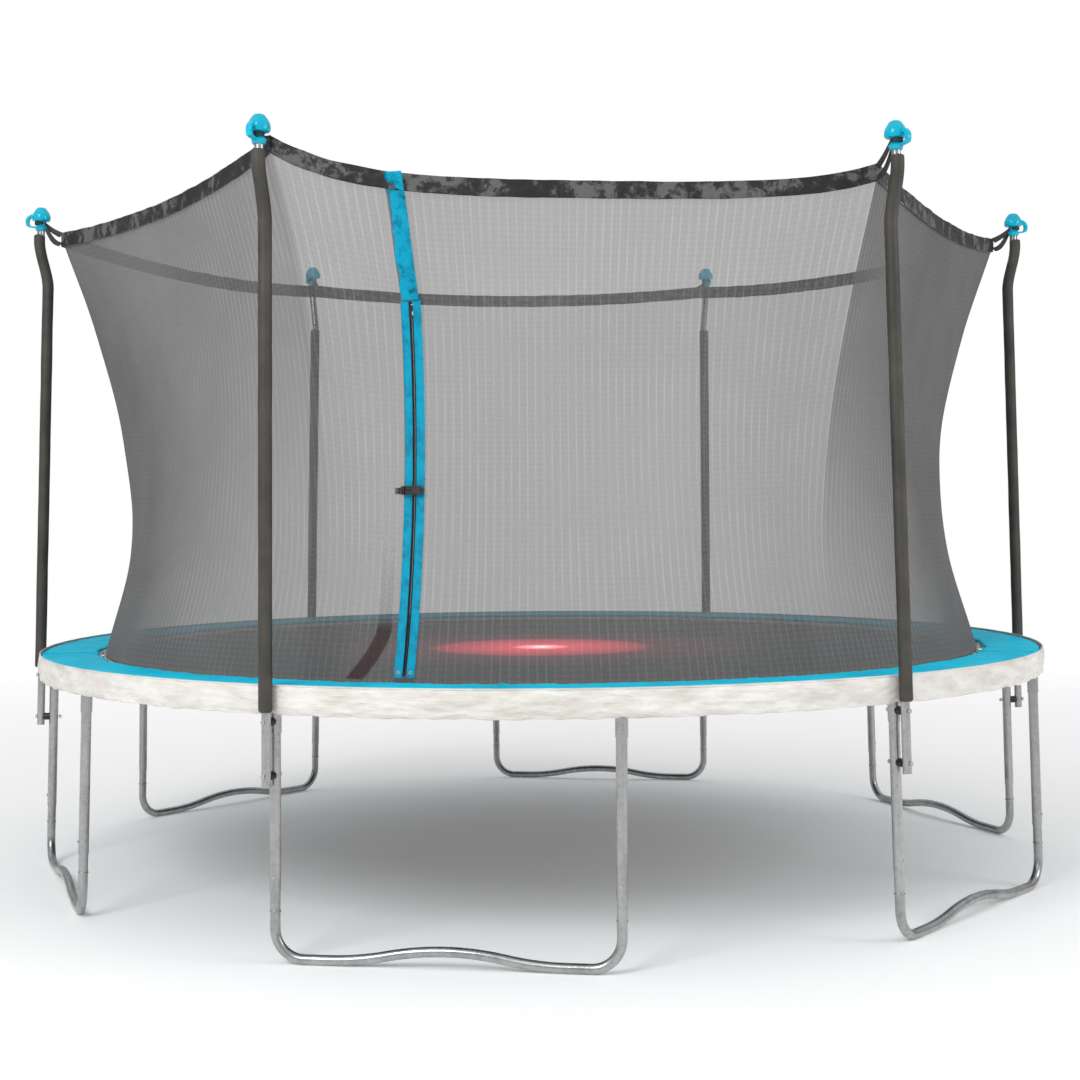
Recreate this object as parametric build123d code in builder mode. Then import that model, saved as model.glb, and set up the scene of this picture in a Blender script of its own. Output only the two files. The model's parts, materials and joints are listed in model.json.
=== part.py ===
from build123d import *
from math import atan2, cos, degrees, radians, sin, sqrt
import os

# A round garden trampoline with a six-pole safety enclosure, in millimetres.
# Origin: the centre of the frame at ground level. +Z is up. The doorway faces -Y.
# Polar angles are counter-clockwise from +X, so the front of the object is at -90 degrees.

# ---- driving dimensions: frame ----
RAIL_R = 2115.0            # radius of the round rail's centre line
RAIL_Z = 890.0             # height of the rail's centre line
RAIL_OD = 38.0
TUBE_WALL = 1.5
SECTORS = 6                # legs, poles and net panels
POLE_ANGLE = -120.0        # polar angle of the first pole and its upright
LEG_SPAN = 32.0            # angle between the two uprights of one leg
LEG_SPLAY = 1.8            # outward lean of the legs, degrees
RAIL_ARC = 30.0            # one rail segment
RAIL_GAP = 0.02            # gap between two segments, degrees
FIT = 0.1                  # radial clearance of a plugged tube joint
SOCKET_OD = 43.0
SOCKET_ID = 38.6
SOCKET_BOTTOM_Z = 771.0
LEG_TOP_Z = 858.0
LEG_BOTTOM_Z = 245.0
BASE_OD = 34.8
BASE_TOP_Z = 330.0         # the base tube plugs this high into the leg tube
BASE_BEAD_Z = 175.0
BASE_BEND_R = 100.0
BASE_HUMP = 40.0

# ---- driving dimensions: enclosure poles ----
POLE_OD = 32.0
POLE_OFFSET = 54.0         # pole axis outside the upright's axis
POLE_BOTTOM_Z = 596.0
POLE_JOINT_Z = 1650.0
POLE_TOP_Z = 2748.0
POLE_PLUG = 110.0          # reduced lower end of the upper pole
BEND_LOW_Z = 2500.0
BEND_HIGH_Z = 2670.0
BEND_OUT = 40.0            # how far the S-bend carries the pole's top outward
BEND_R = 160.0
SLEEVE_OD = 47.0
SLEEVE_BOTTOM_Z = 845.0
SLEEVE_TOP_Z = 2692.0
REAR_SLEEVE_TOP_Z = 2490.0
BOLT_HEIGHTS = (812.0, 632.0)
BOLT_D = 8.0
BOLT_HOLE_D = 8.6

# ---- driving dimensions: jumping surface ----
MAT_R = 1874.0
MAT_Z = 900.0
MAT_T = 2.0
SPRINGS = 84
SPRING_OD = 24.0
SPRING_WIRE = 3.4
SPRING_WALL = 4.2          # thickness of the tube that stands for the wound coil
RING_TIP_R = 1912.0        # where a spring's inner hook catches its ring
RAIL_HOLE_R = 2106.0
PAD_IN_R = 1898.0
PAD_OUT_R = 2137.0
PAD_BOTTOM_Z = 917.0
PAD_TOP_Z = 937.0
VINYL_T = 1.5
SKIRT_BOTTOM_Z = 835.0

# ---- driving dimensions: net and door ----
NET_T = 1.2
NET_ROWS = (               # height, radius at a pole, radius half way between poles
    (922.0, 1876.0, 1876.0),
    (1330.0, 1790.0, 1760.0),
    (1800.0, 1800.0, 1690.0),
    (2250.0, 1860.0, 1700.0),
    (2588.0, 1975.0, 1725.0),
)
BAND_HEIGHT = 60.0
BAND_CORNER = (2010.0, 2672.0)   # radius and height of the band's middle at a pole
BAND_SAG = 48.0
ZIP_ANGLE = -109.5         # polar angle of the zip's upright plane
ZIP_ARC_R = 2746.0         # the zip follows this arc, waisted towards the centre
ZIP_WAIST_R = 1735.0
ZIP_WAIST_Z = 1800.0
ZIP_FOOT_Z = 944.0
ZIP_TOP_Z = 2186.0
TRIM_WIDTH = 30.0
TRIM_IN = 7.0              # from the zip's centre line to the trim
HEADER_BOTTOM_Z = 2236.0
FOLD_TOP_Z = 2250.0        # the flap folds along a line from here ...
FOLD_FOOT_ANGLE = -76.1    # ... to the net's hem at this polar angle
FOLD_FOOT_R = 1872.0
FOLD_FOOT_Z = 930.0
FOLD_GAP = 8.0
SLIDER_Z = 2210.0
BUCKLE_Z = 1580.0

os.makedirs("parts", exist_ok=True)
UP = Vector(0, 0, 1)


def save(part, name):
    """Label one finished piece and write its STEP file."""
    part.label = name
    export_step(part, f"parts/{name}.step")


def save_ring(part, name):
    """Write a piece once for each sector of the frame, turned into place."""
    for k in range(SECTORS):
        save(part.rotate(Axis.Z, 360 / SECTORS * k), f"{name}_{k + 1}")


def outward(angle):
    """Horizontal unit vector away from the centre at a polar angle."""
    return Vector(cos(radians(angle)), sin(radians(angle)), 0)


def radial_plane(angle):
    """Upright plane through the centre: local x runs outward, local y is up."""
    return Plane(origin=(0, 0, 0), x_dir=outward(angle), z_dir=outward(angle - 90))


def ring_of(piece, count):
    """The same piece repeated round the vertical axis, as separate solids."""
    turned = [piece.rotate(Axis.Z, 360 / count * k) for k in range(count)]
    return Compound([solid for copy in turned for solid in copy.solids()])


def swept_tube(path, start_plane, outer_d, inner_d):
    """A round tube along a path: the outside is swept first, then the bore."""
    with BuildPart() as tube:
        with BuildSketch(start_plane):
            Circle(outer_d / 2)
        sweep(path=path)
        with BuildSketch(start_plane):
            Circle(inner_d / 2)
        sweep(path=path, mode=Mode.SUBTRACT)
    return tube.part


# ---- leg geometry: both uprights of one leg lie in one leaning plane ----
LEG_ANGLE = POLE_ANGLE + LEG_SPAN / 2
HALF_SPAN = RAIL_R * sin(radians(LEG_SPAN / 2))
LEG_UP = UP * cos(radians(LEG_SPLAY)) - outward(LEG_ANGLE) * sin(radians(LEG_SPLAY))
leg_plane = Plane(
    origin=outward(LEG_ANGLE) * (RAIL_R * cos(radians(LEG_SPAN / 2))) + UP * RAIL_Z,
    x_dir=outward(LEG_ANGLE + 90),
    z_dir=outward(LEG_ANGLE + 90).cross(LEG_UP),
)


def upright_plane(side, height):
    """Plane square to an upright at a height; side is -1 for the pole's upright and +1 for the other."""
    origin = leg_plane.from_local_coords((side * HALF_SPAN, height - RAIL_Z, 0))
    return Plane(origin=origin, x_dir=outward(LEG_ANGLE + 90), z_dir=LEG_UP)


def screw_plane(side):
    """Plane across an upright at the leg screw, facing outward."""
    return Plane(origin=upright_plane(side, SCREW_Z).origin, x_dir=LEG_UP, z_dir=leg_plane.z_dir)


# ---- pole geometry: parallel to its upright, with its bend leaning outward ----
pole_side = outward(POLE_ANGLE).cross(LEG_UP).normalized()
pole_out = LEG_UP.cross(pole_side).normalized()
pole_plane = Plane(
    origin=outward(POLE_ANGLE) * (RAIL_R + POLE_OFFSET) + UP * RAIL_Z,
    x_dir=pole_out,
    z_dir=pole_side,
)


def pole_point(out, height):
    """Point in the pole's plane, outward from its axis and at a height."""
    return pole_plane.from_local_coords((out, height - RAIL_Z, 0))


def cross_bolt_plane(height):
    """Plane square to a cross bolt, on the pole's axis, facing outward."""
    return Plane(origin=pole_point(0, height), x_dir=LEG_UP, z_dir=pole_out)


with BuildPart() as bolt_cutter:
    for height in BOLT_HEIGHTS:
        with BuildSketch(cross_bolt_plane(height)):
            Circle(BOLT_HOLE_D / 2)
        extrude(amount=120, both=True)
bolt_holes = bolt_cutter.part


def straight_tube(side, bottom, top, outer_d, inner_d):
    """A straight tube along one upright of the first leg."""
    with BuildPart() as tube:
        with BuildSketch(upright_plane(side, bottom)):
            Circle(outer_d / 2)
            Circle(inner_d / 2, mode=Mode.SUBTRACT)
        extrude(amount=top - bottom)
    return tube.part


def pole_tube(bottom, top, outer_d, inner_d, bent):
    """A tube along the pole's centre line, straight or through the S-bend."""
    with BuildLine(pole_plane) as centre_line:
        if bent:
            FilletPolyline(
                (0, bottom - RAIL_Z),
                (0, BEND_LOW_Z - RAIL_Z),
                (BEND_OUT, BEND_HIGH_Z - RAIL_Z),
                (BEND_OUT, top - RAIL_Z),
                radius=BEND_R,
            )
        else:
            Line((0, bottom - RAIL_Z), (0, top - RAIL_Z))
    path = centre_line.wires()[0]
    return swept_tube(path, Plane(origin=path @ 0, x_dir=pole_out, z_dir=LEG_UP), outer_d, inner_d)


# ---- top rail: twelve segments, each with a socket for one upright and its spring holes ----
RAIL_ID = RAIL_OD - 2 * TUBE_WALL
SPRING_STEP = 360 / SPRINGS


def rail_segment(start, socket_side):
    """One rail segment from its start angle on, with the socket for one upright."""
    section = radial_plane(start)
    with BuildPart() as rail:
        with BuildSketch(section):
            with Locations((RAIL_R, RAIL_Z)):
                Circle(RAIL_OD / 2)
        revolve(axis=Axis.Z, revolution_arc=RAIL_ARC - RAIL_GAP)
        with BuildSketch(upright_plane(socket_side, SOCKET_BOTTOM_Z)):
            Circle(SOCKET_OD / 2)
        extrude(amount=RAIL_Z - SOCKET_BOTTOM_Z - 4)
        with BuildSketch(upright_plane(socket_side, SOCKET_BOTTOM_Z)):
            Circle(SOCKET_ID / 2)
        extrude(amount=RAIL_Z - SOCKET_BOTTOM_Z - RAIL_OD / 2 - 4, mode=Mode.SUBTRACT)
        with BuildSketch(section):
            with Locations((RAIL_R, RAIL_Z)):
                Circle(RAIL_ID / 2)
        revolve(axis=Axis.Z, revolution_arc=RAIL_ARC, mode=Mode.SUBTRACT)
        with BuildSketch(Plane.XY.offset(RAIL_Z + 4)):
            with PolarLocations(RAIL_HOLE_R, 7, start_angle=start + SPRING_STEP / 2,
                                angular_range=RAIL_ARC, endpoint=False):
                Circle(4)
        extrude(amount=RAIL_OD, mode=Mode.SUBTRACT)
        if socket_side < 0:
            add(bolt_holes, mode=Mode.SUBTRACT)
    return rail.part


rail_pair = Compound([rail_segment(POLE_ANGLE - 14, -1).solid(), rail_segment(POLE_ANGLE + 16, 1).solid()])
save(ring_of(rail_pair, SECTORS), "top_rails")

# ---- legs: two straight tubes on one U-shaped base with a raised middle ----
SCREW_Z = 290.0
LEG_ID = BASE_OD + 2 * FIT
leg_tube_pair = [straight_tube(side, LEG_BOTTOM_Z, LEG_TOP_Z, RAIL_OD, LEG_ID) for side in (-1, 1)]
with BuildPart() as leg_pair:
    add(leg_tube_pair)
    add(bolt_holes, mode=Mode.SUBTRACT)
    for side in (-1, 1):
        with BuildSketch(screw_plane(side)):
            Circle(2.6)
        extrude(amount=30, mode=Mode.SUBTRACT)
save(ring_of(leg_pair.part, SECTORS), "leg_tubes")

GROUND_Y = (BASE_OD / 2 - RAIL_Z) / cos(radians(LEG_SPLAY))
# the raised middle is three tangent arcs of one radius
HUMP_REACH = 400.0
HUMP_R = (HUMP_REACH ** 2 / 4 + BASE_HUMP ** 2 / 4) / BASE_HUMP
HUMP_TURN = degrees(atan2(HUMP_REACH / 2, HUMP_R - BASE_HUMP / 2))
with BuildLine(leg_plane) as base_line:
    Line((-HALF_SPAN, BASE_TOP_Z - RAIL_Z), (-HALF_SPAN, GROUND_Y + BASE_BEND_R))
    JernArc(start=(-HALF_SPAN, GROUND_Y + BASE_BEND_R), tangent=(0, -1), radius=BASE_BEND_R, arc_size=90)
    Line((-HALF_SPAN + BASE_BEND_R, GROUND_Y), (-HUMP_REACH, GROUND_Y))
    rise = JernArc(start=(-HUMP_REACH, GROUND_Y), tangent=(1, 0), radius=HUMP_R, arc_size=HUMP_TURN)
    crest = JernArc(start=rise @ 1, tangent=rise % 1, radius=HUMP_R, arc_size=-2 * HUMP_TURN)
    JernArc(start=crest @ 1, tangent=crest % 1, radius=HUMP_R, arc_size=HUMP_TURN)
    Line((HUMP_REACH, GROUND_Y), (HALF_SPAN - BASE_BEND_R, GROUND_Y))
    JernArc(start=(HALF_SPAN - BASE_BEND_R, GROUND_Y), tangent=(1, 0), radius=BASE_BEND_R, arc_size=90)
    Line((HALF_SPAN, GROUND_Y + BASE_BEND_R), (HALF_SPAN, BASE_TOP_Z - RAIL_Z))
base_path = base_line.wires()[0]
base_start = Plane(origin=base_path @ 0, x_dir=leg_plane.x_dir, z_dir=base_path % 0)
base_tube = swept_tube(base_path, base_start, BASE_OD, BASE_OD - 2 * TUBE_WALL)
with BuildPart() as leg_base:
    add(base_tube)
    for side in (-1, 1):
        with BuildSketch(Plane(origin=upright_plane(side, BASE_BEAD_Z).origin,
                               x_dir=leg_plane.x_dir, z_dir=leg_plane.z_dir)) as bead:
            with Locations((BASE_OD / 2, 0)):
                Ellipse(2.2, 4)
            with Locations((BASE_OD / 2 - TUBE_WALL - 5, 0)):
                Rectangle(10, 12, mode=Mode.SUBTRACT)
        revolve(axis=Axis(upright_plane(side, BASE_BEAD_Z).origin, LEG_UP))
        with BuildSketch(screw_plane(side)):
            Circle(2.6)
        extrude(amount=30, mode=Mode.SUBTRACT)
save_ring(leg_base.part, "leg_base")

with BuildPart() as leg_screw_pair:
    for side in (-1, 1):
        with BuildSketch(screw_plane(side).offset(12)):
            Circle(2.4)
        extrude(amount=9)
        with BuildSketch(screw_plane(side).offset(RAIL_OD / 2 + 0.3)):
            RegularPolygon(4.6, 6)
        extrude(amount=4)
save(ring_of(leg_screw_pair.part, SECTORS), "leg_screws")

# ---- enclosure poles, foam sleeves, cross bolts and spacers ----
POLE_ID = POLE_OD - 2 * TUBE_WALL
lower_tube = pole_tube(POLE_BOTTOM_Z, POLE_JOINT_Z, POLE_OD, POLE_ID, bent=False)
with BuildPart() as pole_lower:
    add(lower_tube)
    add(bolt_holes, mode=Mode.SUBTRACT)
save(ring_of(pole_lower.part, SECTORS), "pole_lower_tubes")

PLUG_OD = POLE_ID - 2 * FIT
PLUG_ID = PLUG_OD - 2 * TUBE_WALL
upper_pieces = [
    pole_tube(POLE_JOINT_Z + 1, POLE_TOP_Z, POLE_OD, POLE_ID, bent=True),
    pole_tube(POLE_JOINT_Z - POLE_PLUG, POLE_JOINT_Z + 6, PLUG_OD, PLUG_ID, bent=False),
    pole_tube(POLE_JOINT_Z + 1, POLE_JOINT_Z + 6, POLE_OD, PLUG_ID, bent=False),
]
with BuildPart() as pole_upper:
    add(upper_pieces)
save_ring(pole_upper.part, "pole_upper")

front_sleeve = pole_tube(SLEEVE_BOTTOM_Z, SLEEVE_TOP_Z, SLEEVE_OD, POLE_OD + 1, bent=True)
rear_sleeve = pole_tube(SLEEVE_BOTTOM_Z, REAR_SLEEVE_TOP_Z, SLEEVE_OD, POLE_OD + 1, bent=False)
REAR_POLES = (3, 4)
sleeves = [
    (rear_sleeve if k in REAR_POLES else front_sleeve).rotate(Axis.Z, 360 / SECTORS * k).solid()
    for k in range(SECTORS)
]
save(Compound(sleeves), "pole_sleeves")

with BuildPart() as bolt_pair:
    for height in BOLT_HEIGHTS:
        with BuildSketch(cross_bolt_plane(height).offset(-POLE_OFFSET - 34)):
            Circle(BOLT_D / 2)
        extrude(amount=POLE_OFFSET + 34 + POLE_OD / 2 + 3)
        with BuildSketch(cross_bolt_plane(height).offset(POLE_OD / 2 + 2.0)):
            Circle(8)
        extrude(amount=5)
save(ring_of(bolt_pair.part, SECTORS), "pole_bolts")

with BuildPart() as nut_pair:
    for height in BOLT_HEIGHTS:
        with BuildSketch(cross_bolt_plane(height).offset(-POLE_OFFSET - 31)):
            RegularPolygon(7.5, 6)
            Circle(BOLT_D / 2 + FIT / 2, mode=Mode.SUBTRACT)
        extrude(amount=7)
save(ring_of(nut_pair.part, SECTORS), "pole_nuts")

with BuildPart() as spacer_pair:
    for height, leg_d in zip(BOLT_HEIGHTS, (SOCKET_OD, RAIL_OD)):
        with BuildSketch(cross_bolt_plane(height).offset(-POLE_OFFSET + leg_d / 2 - 5)):
            Circle(15)
        extrude(amount=POLE_OFFSET - leg_d / 2 - POLE_OD / 2 + 10)
    for height, leg_d in zip(BOLT_HEIGHTS, (SOCKET_OD, RAIL_OD)):
        with BuildSketch(upright_plane(-1, height - 30)):
            Circle(leg_d / 2 + FIT)
        extrude(amount=60, mode=Mode.SUBTRACT)
        with BuildSketch(Plane(origin=pole_point(0, height - 30), x_dir=pole_out, z_dir=LEG_UP)):
            Circle(POLE_OD / 2 + FIT)
        extrude(amount=60, mode=Mode.SUBTRACT)
    add(bolt_holes, mode=Mode.SUBTRACT)
save(ring_of(spacer_pair.part, SECTORS), "pole_spacers")

# ---- pole caps: a domed head on a waisted body, with a strap hook on the outer side ----
cap_side = Plane(origin=pole_point(BEND_OUT, POLE_TOP_Z), x_dir=pole_out, z_dir=pole_side)
with BuildPart() as cap_hook:
    with BuildSketch(cap_side):
        with BuildLine(mode=Mode.PRIVATE) as hook_arc:
            CenterArc((31, 17), 27, -110, 195)
        SlotArc(hook_arc.edges()[0], 15)
    extrude(amount=10, both=True)
    fillet(cap_hook.edges(), 3)
with BuildPart() as pole_cap:
    with BuildSketch(cap_side):
        with BuildLine():
            Polyline((0, -48), (20, -48), (22, -44), (26, -8), (17, 6), (17, 19), (35, 23), (38, 28))
            Spline((38, 28), (37, 48), (23, 73), (0, 82), tangents=((0.1, 1), (-1, 0)))
            Line((0, 82), (0, -48))
        make_face()
    revolve(axis=Axis(cap_side.origin, LEG_UP))
    add(cap_hook.part)
    with BuildSketch(Plane(origin=pole_point(BEND_OUT, POLE_TOP_Z - 60), x_dir=pole_out, z_dir=LEG_UP)):
        Circle(POLE_OD / 2 + FIT)
    extrude(amount=60 + 1, mode=Mode.SUBTRACT)
save_ring(pole_cap.part, "pole_cap")

# ---- springs, rings and the jumping mat ----
SPRING_IN_R = RING_TIP_R + 16
SPRING_OUT_R = 2078.0
HOOK_R = 5.2
HOOK_Z = MAT_Z + SPRING_OD / 2 - SPRING_WALL / 2
with BuildPart() as spring:
    with BuildSketch(Plane.YZ.offset(SPRING_IN_R)):
        with Locations((0, MAT_Z)):
            Circle(SPRING_OD / 2)
            Circle(SPRING_OD / 2 - SPRING_WALL, mode=Mode.SUBTRACT)
    extrude(amount=SPRING_OUT_R - SPRING_IN_R)
    with BuildLine(Plane.XZ) as inner_hook:
        FilletPolyline(
            (SPRING_IN_R + 3, HOOK_Z),
            (RING_TIP_R - HOOK_R, MAT_Z + HOOK_R + 2),
            (RING_TIP_R - HOOK_R, MAT_Z - HOOK_R),
            (RING_TIP_R + 2, MAT_Z - HOOK_R),
            radius=3.5,
        )
    with BuildSketch(Plane(origin=inner_hook.wires()[0] @ 0, z_dir=inner_hook.wires()[0] % 0)):
        Circle(SPRING_WIRE / 2)
    sweep(path=inner_hook.wires()[0])
    with BuildLine(Plane.XZ) as outer_hook:
        FilletPolyline(
            (SPRING_OUT_R - 3, HOOK_Z),
            (SPRING_OUT_R + 14, MAT_Z + 14),
            (RAIL_HOLE_R, MAT_Z + 14),
            (RAIL_HOLE_R, MAT_Z - 4),
            radius=5,
        )
    with BuildSketch(Plane(origin=outer_hook.wires()[0] @ 0, z_dir=outer_hook.wires()[0] % 0)):
        Circle(SPRING_WIRE / 2)
    sweep(path=outer_hook.wires()[0])
spring_start = POLE_ANGLE - 14 + SPRING_STEP / 2
save(ring_of(spring.part.rotate(Axis.Z, spring_start), SPRINGS), "springs")

with BuildPart() as v_ring:
    with BuildSketch(Plane.XY.offset(MAT_Z - 2)):
        with BuildLine():
            Polyline(
                (RING_TIP_R - 28, 19),
                (RING_TIP_R + 2, 8),
                (RING_TIP_R + 2, -8),
                (RING_TIP_R - 28, -19),
                close=True,
            )
        make_face()
        fillet(vertices(), 3.5)
        offset(amount=-4, mode=Mode.SUBTRACT)
    extrude(amount=4)
save(ring_of(v_ring.part.rotate(Axis.Z, spring_start), SPRINGS), "v_rings")

with BuildPart() as jump_mat:
    with BuildSketch(Plane.XY.offset(MAT_Z - MAT_T / 2)):
        Circle(MAT_R)
    extrude(amount=MAT_T)
save(jump_mat.part, "jump_mat")

# the hem is a folded webbing ring: its inner slot holds the mat, its outer slot the ring bars
HEM_OUT_R = 1890.0
with BuildPart() as mat_hem:
    with BuildSketch(Plane.XZ):
        with Locations(((HEM_OUT_R + 1860) / 2, MAT_Z)):
            Rectangle(HEM_OUT_R - 1860, 8)
        with Locations((1867.5, MAT_Z)):
            Rectangle(15.2, MAT_T + 0.2, mode=Mode.SUBTRACT)
        with Locations((1887, MAT_Z)):
            Rectangle(8, 5.2, mode=Mode.SUBTRACT)
    revolve(axis=Axis.Z)
save(mat_hem.part, "mat_hem")

# ---- safety pad: foam inserts, a vinyl cover and a hanging skirt ----
INSERTS = 10
PAD_SEAM_ANGLE = -99.0
with BuildPart() as foam_insert:
    with BuildSketch(radial_plane(PAD_SEAM_ANGLE)):
        with Locations(((PAD_IN_R + PAD_OUT_R) / 2, (PAD_BOTTOM_Z + PAD_TOP_Z - VINYL_T) / 2)):
            Rectangle(PAD_OUT_R - PAD_IN_R - 6, PAD_TOP_Z - PAD_BOTTOM_Z - VINYL_T - 0.4)
    revolve(axis=Axis.Z, revolution_arc=360 / INSERTS - 0.15)
save(ring_of(foam_insert.part, INSERTS), "pad_foam")

with BuildPart() as pad_cover:
    with BuildSketch(Plane.XZ):
        with BuildLine():
            Polyline(
                (PAD_IN_R, PAD_BOTTOM_Z),
                (PAD_IN_R, PAD_TOP_Z),
                (PAD_OUT_R, PAD_TOP_Z),
                (PAD_OUT_R, PAD_BOTTOM_Z),
                (PAD_OUT_R - VINYL_T, PAD_BOTTOM_Z),
                (PAD_OUT_R - VINYL_T, PAD_TOP_Z - VINYL_T),
                (PAD_IN_R + VINYL_T, PAD_TOP_Z - VINYL_T),
                (PAD_IN_R + VINYL_T, PAD_BOTTOM_Z),
                close=True,
            )
        make_face()
    revolve(axis=Axis.Z)
save(pad_cover.part, "pad_cover")

with BuildPart() as pad_skirt:
    with BuildSketch(Plane.XZ):
        with Locations((PAD_OUT_R + 2.2, (SKIRT_BOTTOM_Z + PAD_TOP_Z - 6) / 2)):
            Rectangle(2, PAD_TOP_Z - 6 - SKIRT_BOTTOM_Z)
    revolve(axis=Axis.Z)
save(pad_skirt.part, "pad_skirt")

with BuildPart() as skirt_elastic:
    with BuildSketch(Plane.XZ):
        with Locations((PAD_OUT_R + 4.3, SKIRT_BOTTOM_Z + 4)):
            Rectangle(1.8, 8)
    revolve(axis=Axis.Z)
save(skirt_elastic.part, "skirt_elastic")

# ---- door geometry: the zip's arc and the flap's fold line ----
zip_plane = radial_plane(ZIP_ANGLE)
zip_right = outward(ZIP_ANGLE + 90)
zip_centre = (ZIP_WAIST_R + ZIP_ARC_R, ZIP_WAIST_Z)


def zip_radius(height):
    """Radius of the zip's arc at a height."""
    return zip_centre[0] - sqrt(ZIP_ARC_R ** 2 - (height - ZIP_WAIST_Z) ** 2)


def door_plane(height):
    """Plane on the zip at a height: local x to the right, local y up the zip, local z outward."""
    point = zip_plane.from_local_coords((zip_radius(height), height, 0))
    centre = zip_plane.from_local_coords((*zip_centre, 0))
    return Plane(origin=point, x_dir=zip_right, z_dir=(centre - point).normalized())


def zip_strip(bottom, top, profile):
    """A strip swept up the zip's arc; profile holds (x from, x to, outward from, outward to) boxes."""
    with BuildPart() as strip:
        with BuildLine(zip_plane) as arc:
            ThreePointArc(
                (zip_radius(bottom), bottom),
                (zip_radius((bottom + top) / 2), (bottom + top) / 2),
                (zip_radius(top), top),
            )
        with BuildSketch(Plane(origin=arc.wires()[0] @ 0, x_dir=zip_right, z_dir=arc.wires()[0] % 0)):
            for x_from, x_to, out_from, out_to in profile:
                with Locations(((x_from + x_to) / 2, -(out_from + out_to) / 2)):
                    Rectangle(x_to - x_from, out_to - out_from)
        sweep(path=arc.wires()[0])
    return strip.part


fold_top = zip_plane.from_local_coords((zip_radius(FOLD_TOP_Z), FOLD_TOP_Z, 0))
fold_foot = outward(FOLD_FOOT_ANGLE) * FOLD_FOOT_R + UP * FOLD_FOOT_Z
fold_dir = (fold_top - fold_foot).normalized()
door_out = outward((ZIP_ANGLE + FOLD_FOOT_ANGLE) / 2)
fold_out = (door_out - fold_dir * door_out.dot(fold_dir)).normalized()
fold_plane = Plane(origin=fold_foot, x_dir=fold_dir, z_dir=fold_out)
FOLD_LENGTH = (fold_top - fold_foot).length


def flap_region(edge, floor_z):
    """Prism over the flap's triangle, from an edge beside the fold line and down to a floor height."""
    zip_low = fold_plane.to_local_coords(zip_plane.from_local_coords((1800, 500, 0)))
    zip_high = fold_plane.to_local_coords(fold_top)
    reach = 60 / (zip_high.X - zip_low.X)
    with BuildPart() as region:
        with BuildSketch(fold_plane.offset(-300)):
            Polygon(
                (-700, edge),
                (zip_high.X + (zip_high.X - zip_low.X) * reach, edge),
                (zip_low.X, zip_low.Y),
                (-700, zip_low.Y),
                align=None,
            )
        extrude(amount=600)
        with BuildSketch(Plane.XY.offset(floor_z)):
            Rectangle(9000, 9000)
        extrude(amount=-1500, mode=Mode.SUBTRACT)
        with BuildSketch(Plane(origin=-zip_right * 30, x_dir=zip_right, z_dir=UP)):
            Rectangle(3000, 9000, align=(Align.MAX, Align.CENTER))
        extrude(amount=4000, mode=Mode.SUBTRACT)
    return region.part


# ---- enclosure net: six panels sewn along the poles, the front one cut for the door ----
HALF_PANEL = 360 / SECTORS / 2 - 0.08
FRONT = -90.0
left, middle, right = (outward(FRONT + turn) for turn in (-HALF_PANEL, 0, HALF_PANEL))
with BuildPart() as net_panel:
    for height, corner_r, middle_r in NET_ROWS:
        with BuildSketch(Plane.XY.offset(height)):
            with BuildLine():
                outer = ThreePointArc(left * corner_r, middle * middle_r, right * corner_r)
                inner_r = corner_r - NET_T
                inner = ThreePointArc(left * inner_r, middle * (middle_r - NET_T), right * inner_r)
                Line(outer @ 0, inner @ 0)
                Line(outer @ 1, inner @ 1)
            make_face()
    loft()

SLOT_HALF = TRIM_IN + TRIM_WIDTH + 2
with BuildPart() as front_panel:
    add(net_panel.part)
    with BuildSketch(Plane(origin=UP * 900, x_dir=zip_right, z_dir=UP)):
        with Locations((0, -1800)):
            Rectangle(2 * SLOT_HALF, 500)
    extrude(amount=1800, mode=Mode.SUBTRACT)
doorway = flap_region(-FOLD_GAP / 2, ZIP_FOOT_Z - 4)
flap_prism = flap_region(FOLD_GAP / 2, ZIP_FOOT_Z)
with BuildPart() as front_fixed:
    add(front_panel.part)
    add(doorway, mode=Mode.SUBTRACT)
with BuildPart() as door_flap:
    add(front_panel.part)
    add(flap_prism, mode=Mode.INTERSECT)
save(door_flap.part, "door_flap_net")

other_panels = [net_panel.part.rotate(Axis.Z, 360 / SECTORS * k).solid() for k in range(1, SECTORS)]
save(Compound([*front_fixed.part.solids(), *other_panels]), "enclosure_net")

with BuildPart() as net_hem_cord:
    with BuildSketch(Plane.XZ):
        with Locations((1880, 912)):
            Circle(3)
    revolve(axis=Axis.Z)
save(net_hem_cord.part, "net_hem_cord")

band_r, band_z = BAND_CORNER
band_left = outward(-90 - HALF_PANEL) * band_r + UP * band_z
band_right = outward(-90 + HALF_PANEL) * band_r + UP * band_z
band_middle = (band_left + band_right) * 0.5 - UP * BAND_SAG
with BuildPart() as band_panel:
    with BuildLine() as band_line:
        ThreePointArc(band_left, band_middle, band_right)
    with BuildSketch(Plane(origin=band_left, x_dir=outward(-90), z_dir=band_line.wires()[0] % 0)):
        Rectangle(2.4, BAND_HEIGHT)
    sweep(path=band_line.wires()[0])
save(ring_of(band_panel.part, SECTORS), "net_top_band")

# ---- straps from the caps to the band's corners ----
cap_neck = pole_point(BEND_OUT, POLE_TOP_Z + 13)
with BuildPart() as net_strap:
    with BuildSketch(Plane(origin=cap_neck - LEG_UP * 5, x_dir=pole_out, z_dir=LEG_UP)):
        Circle(20.5)
        Circle(18.2, mode=Mode.SUBTRACT)
    extrude(amount=9)
    with BuildSketch(Plane(origin=cap_neck - LEG_UP * 5, x_dir=pole_out, z_dir=LEG_UP)):
        with Locations((-66, 0)):
            Rectangle(94, 2)
    extrude(amount=9)
save(ring_of(net_strap.part, SECTORS), "net_straps")

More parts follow.
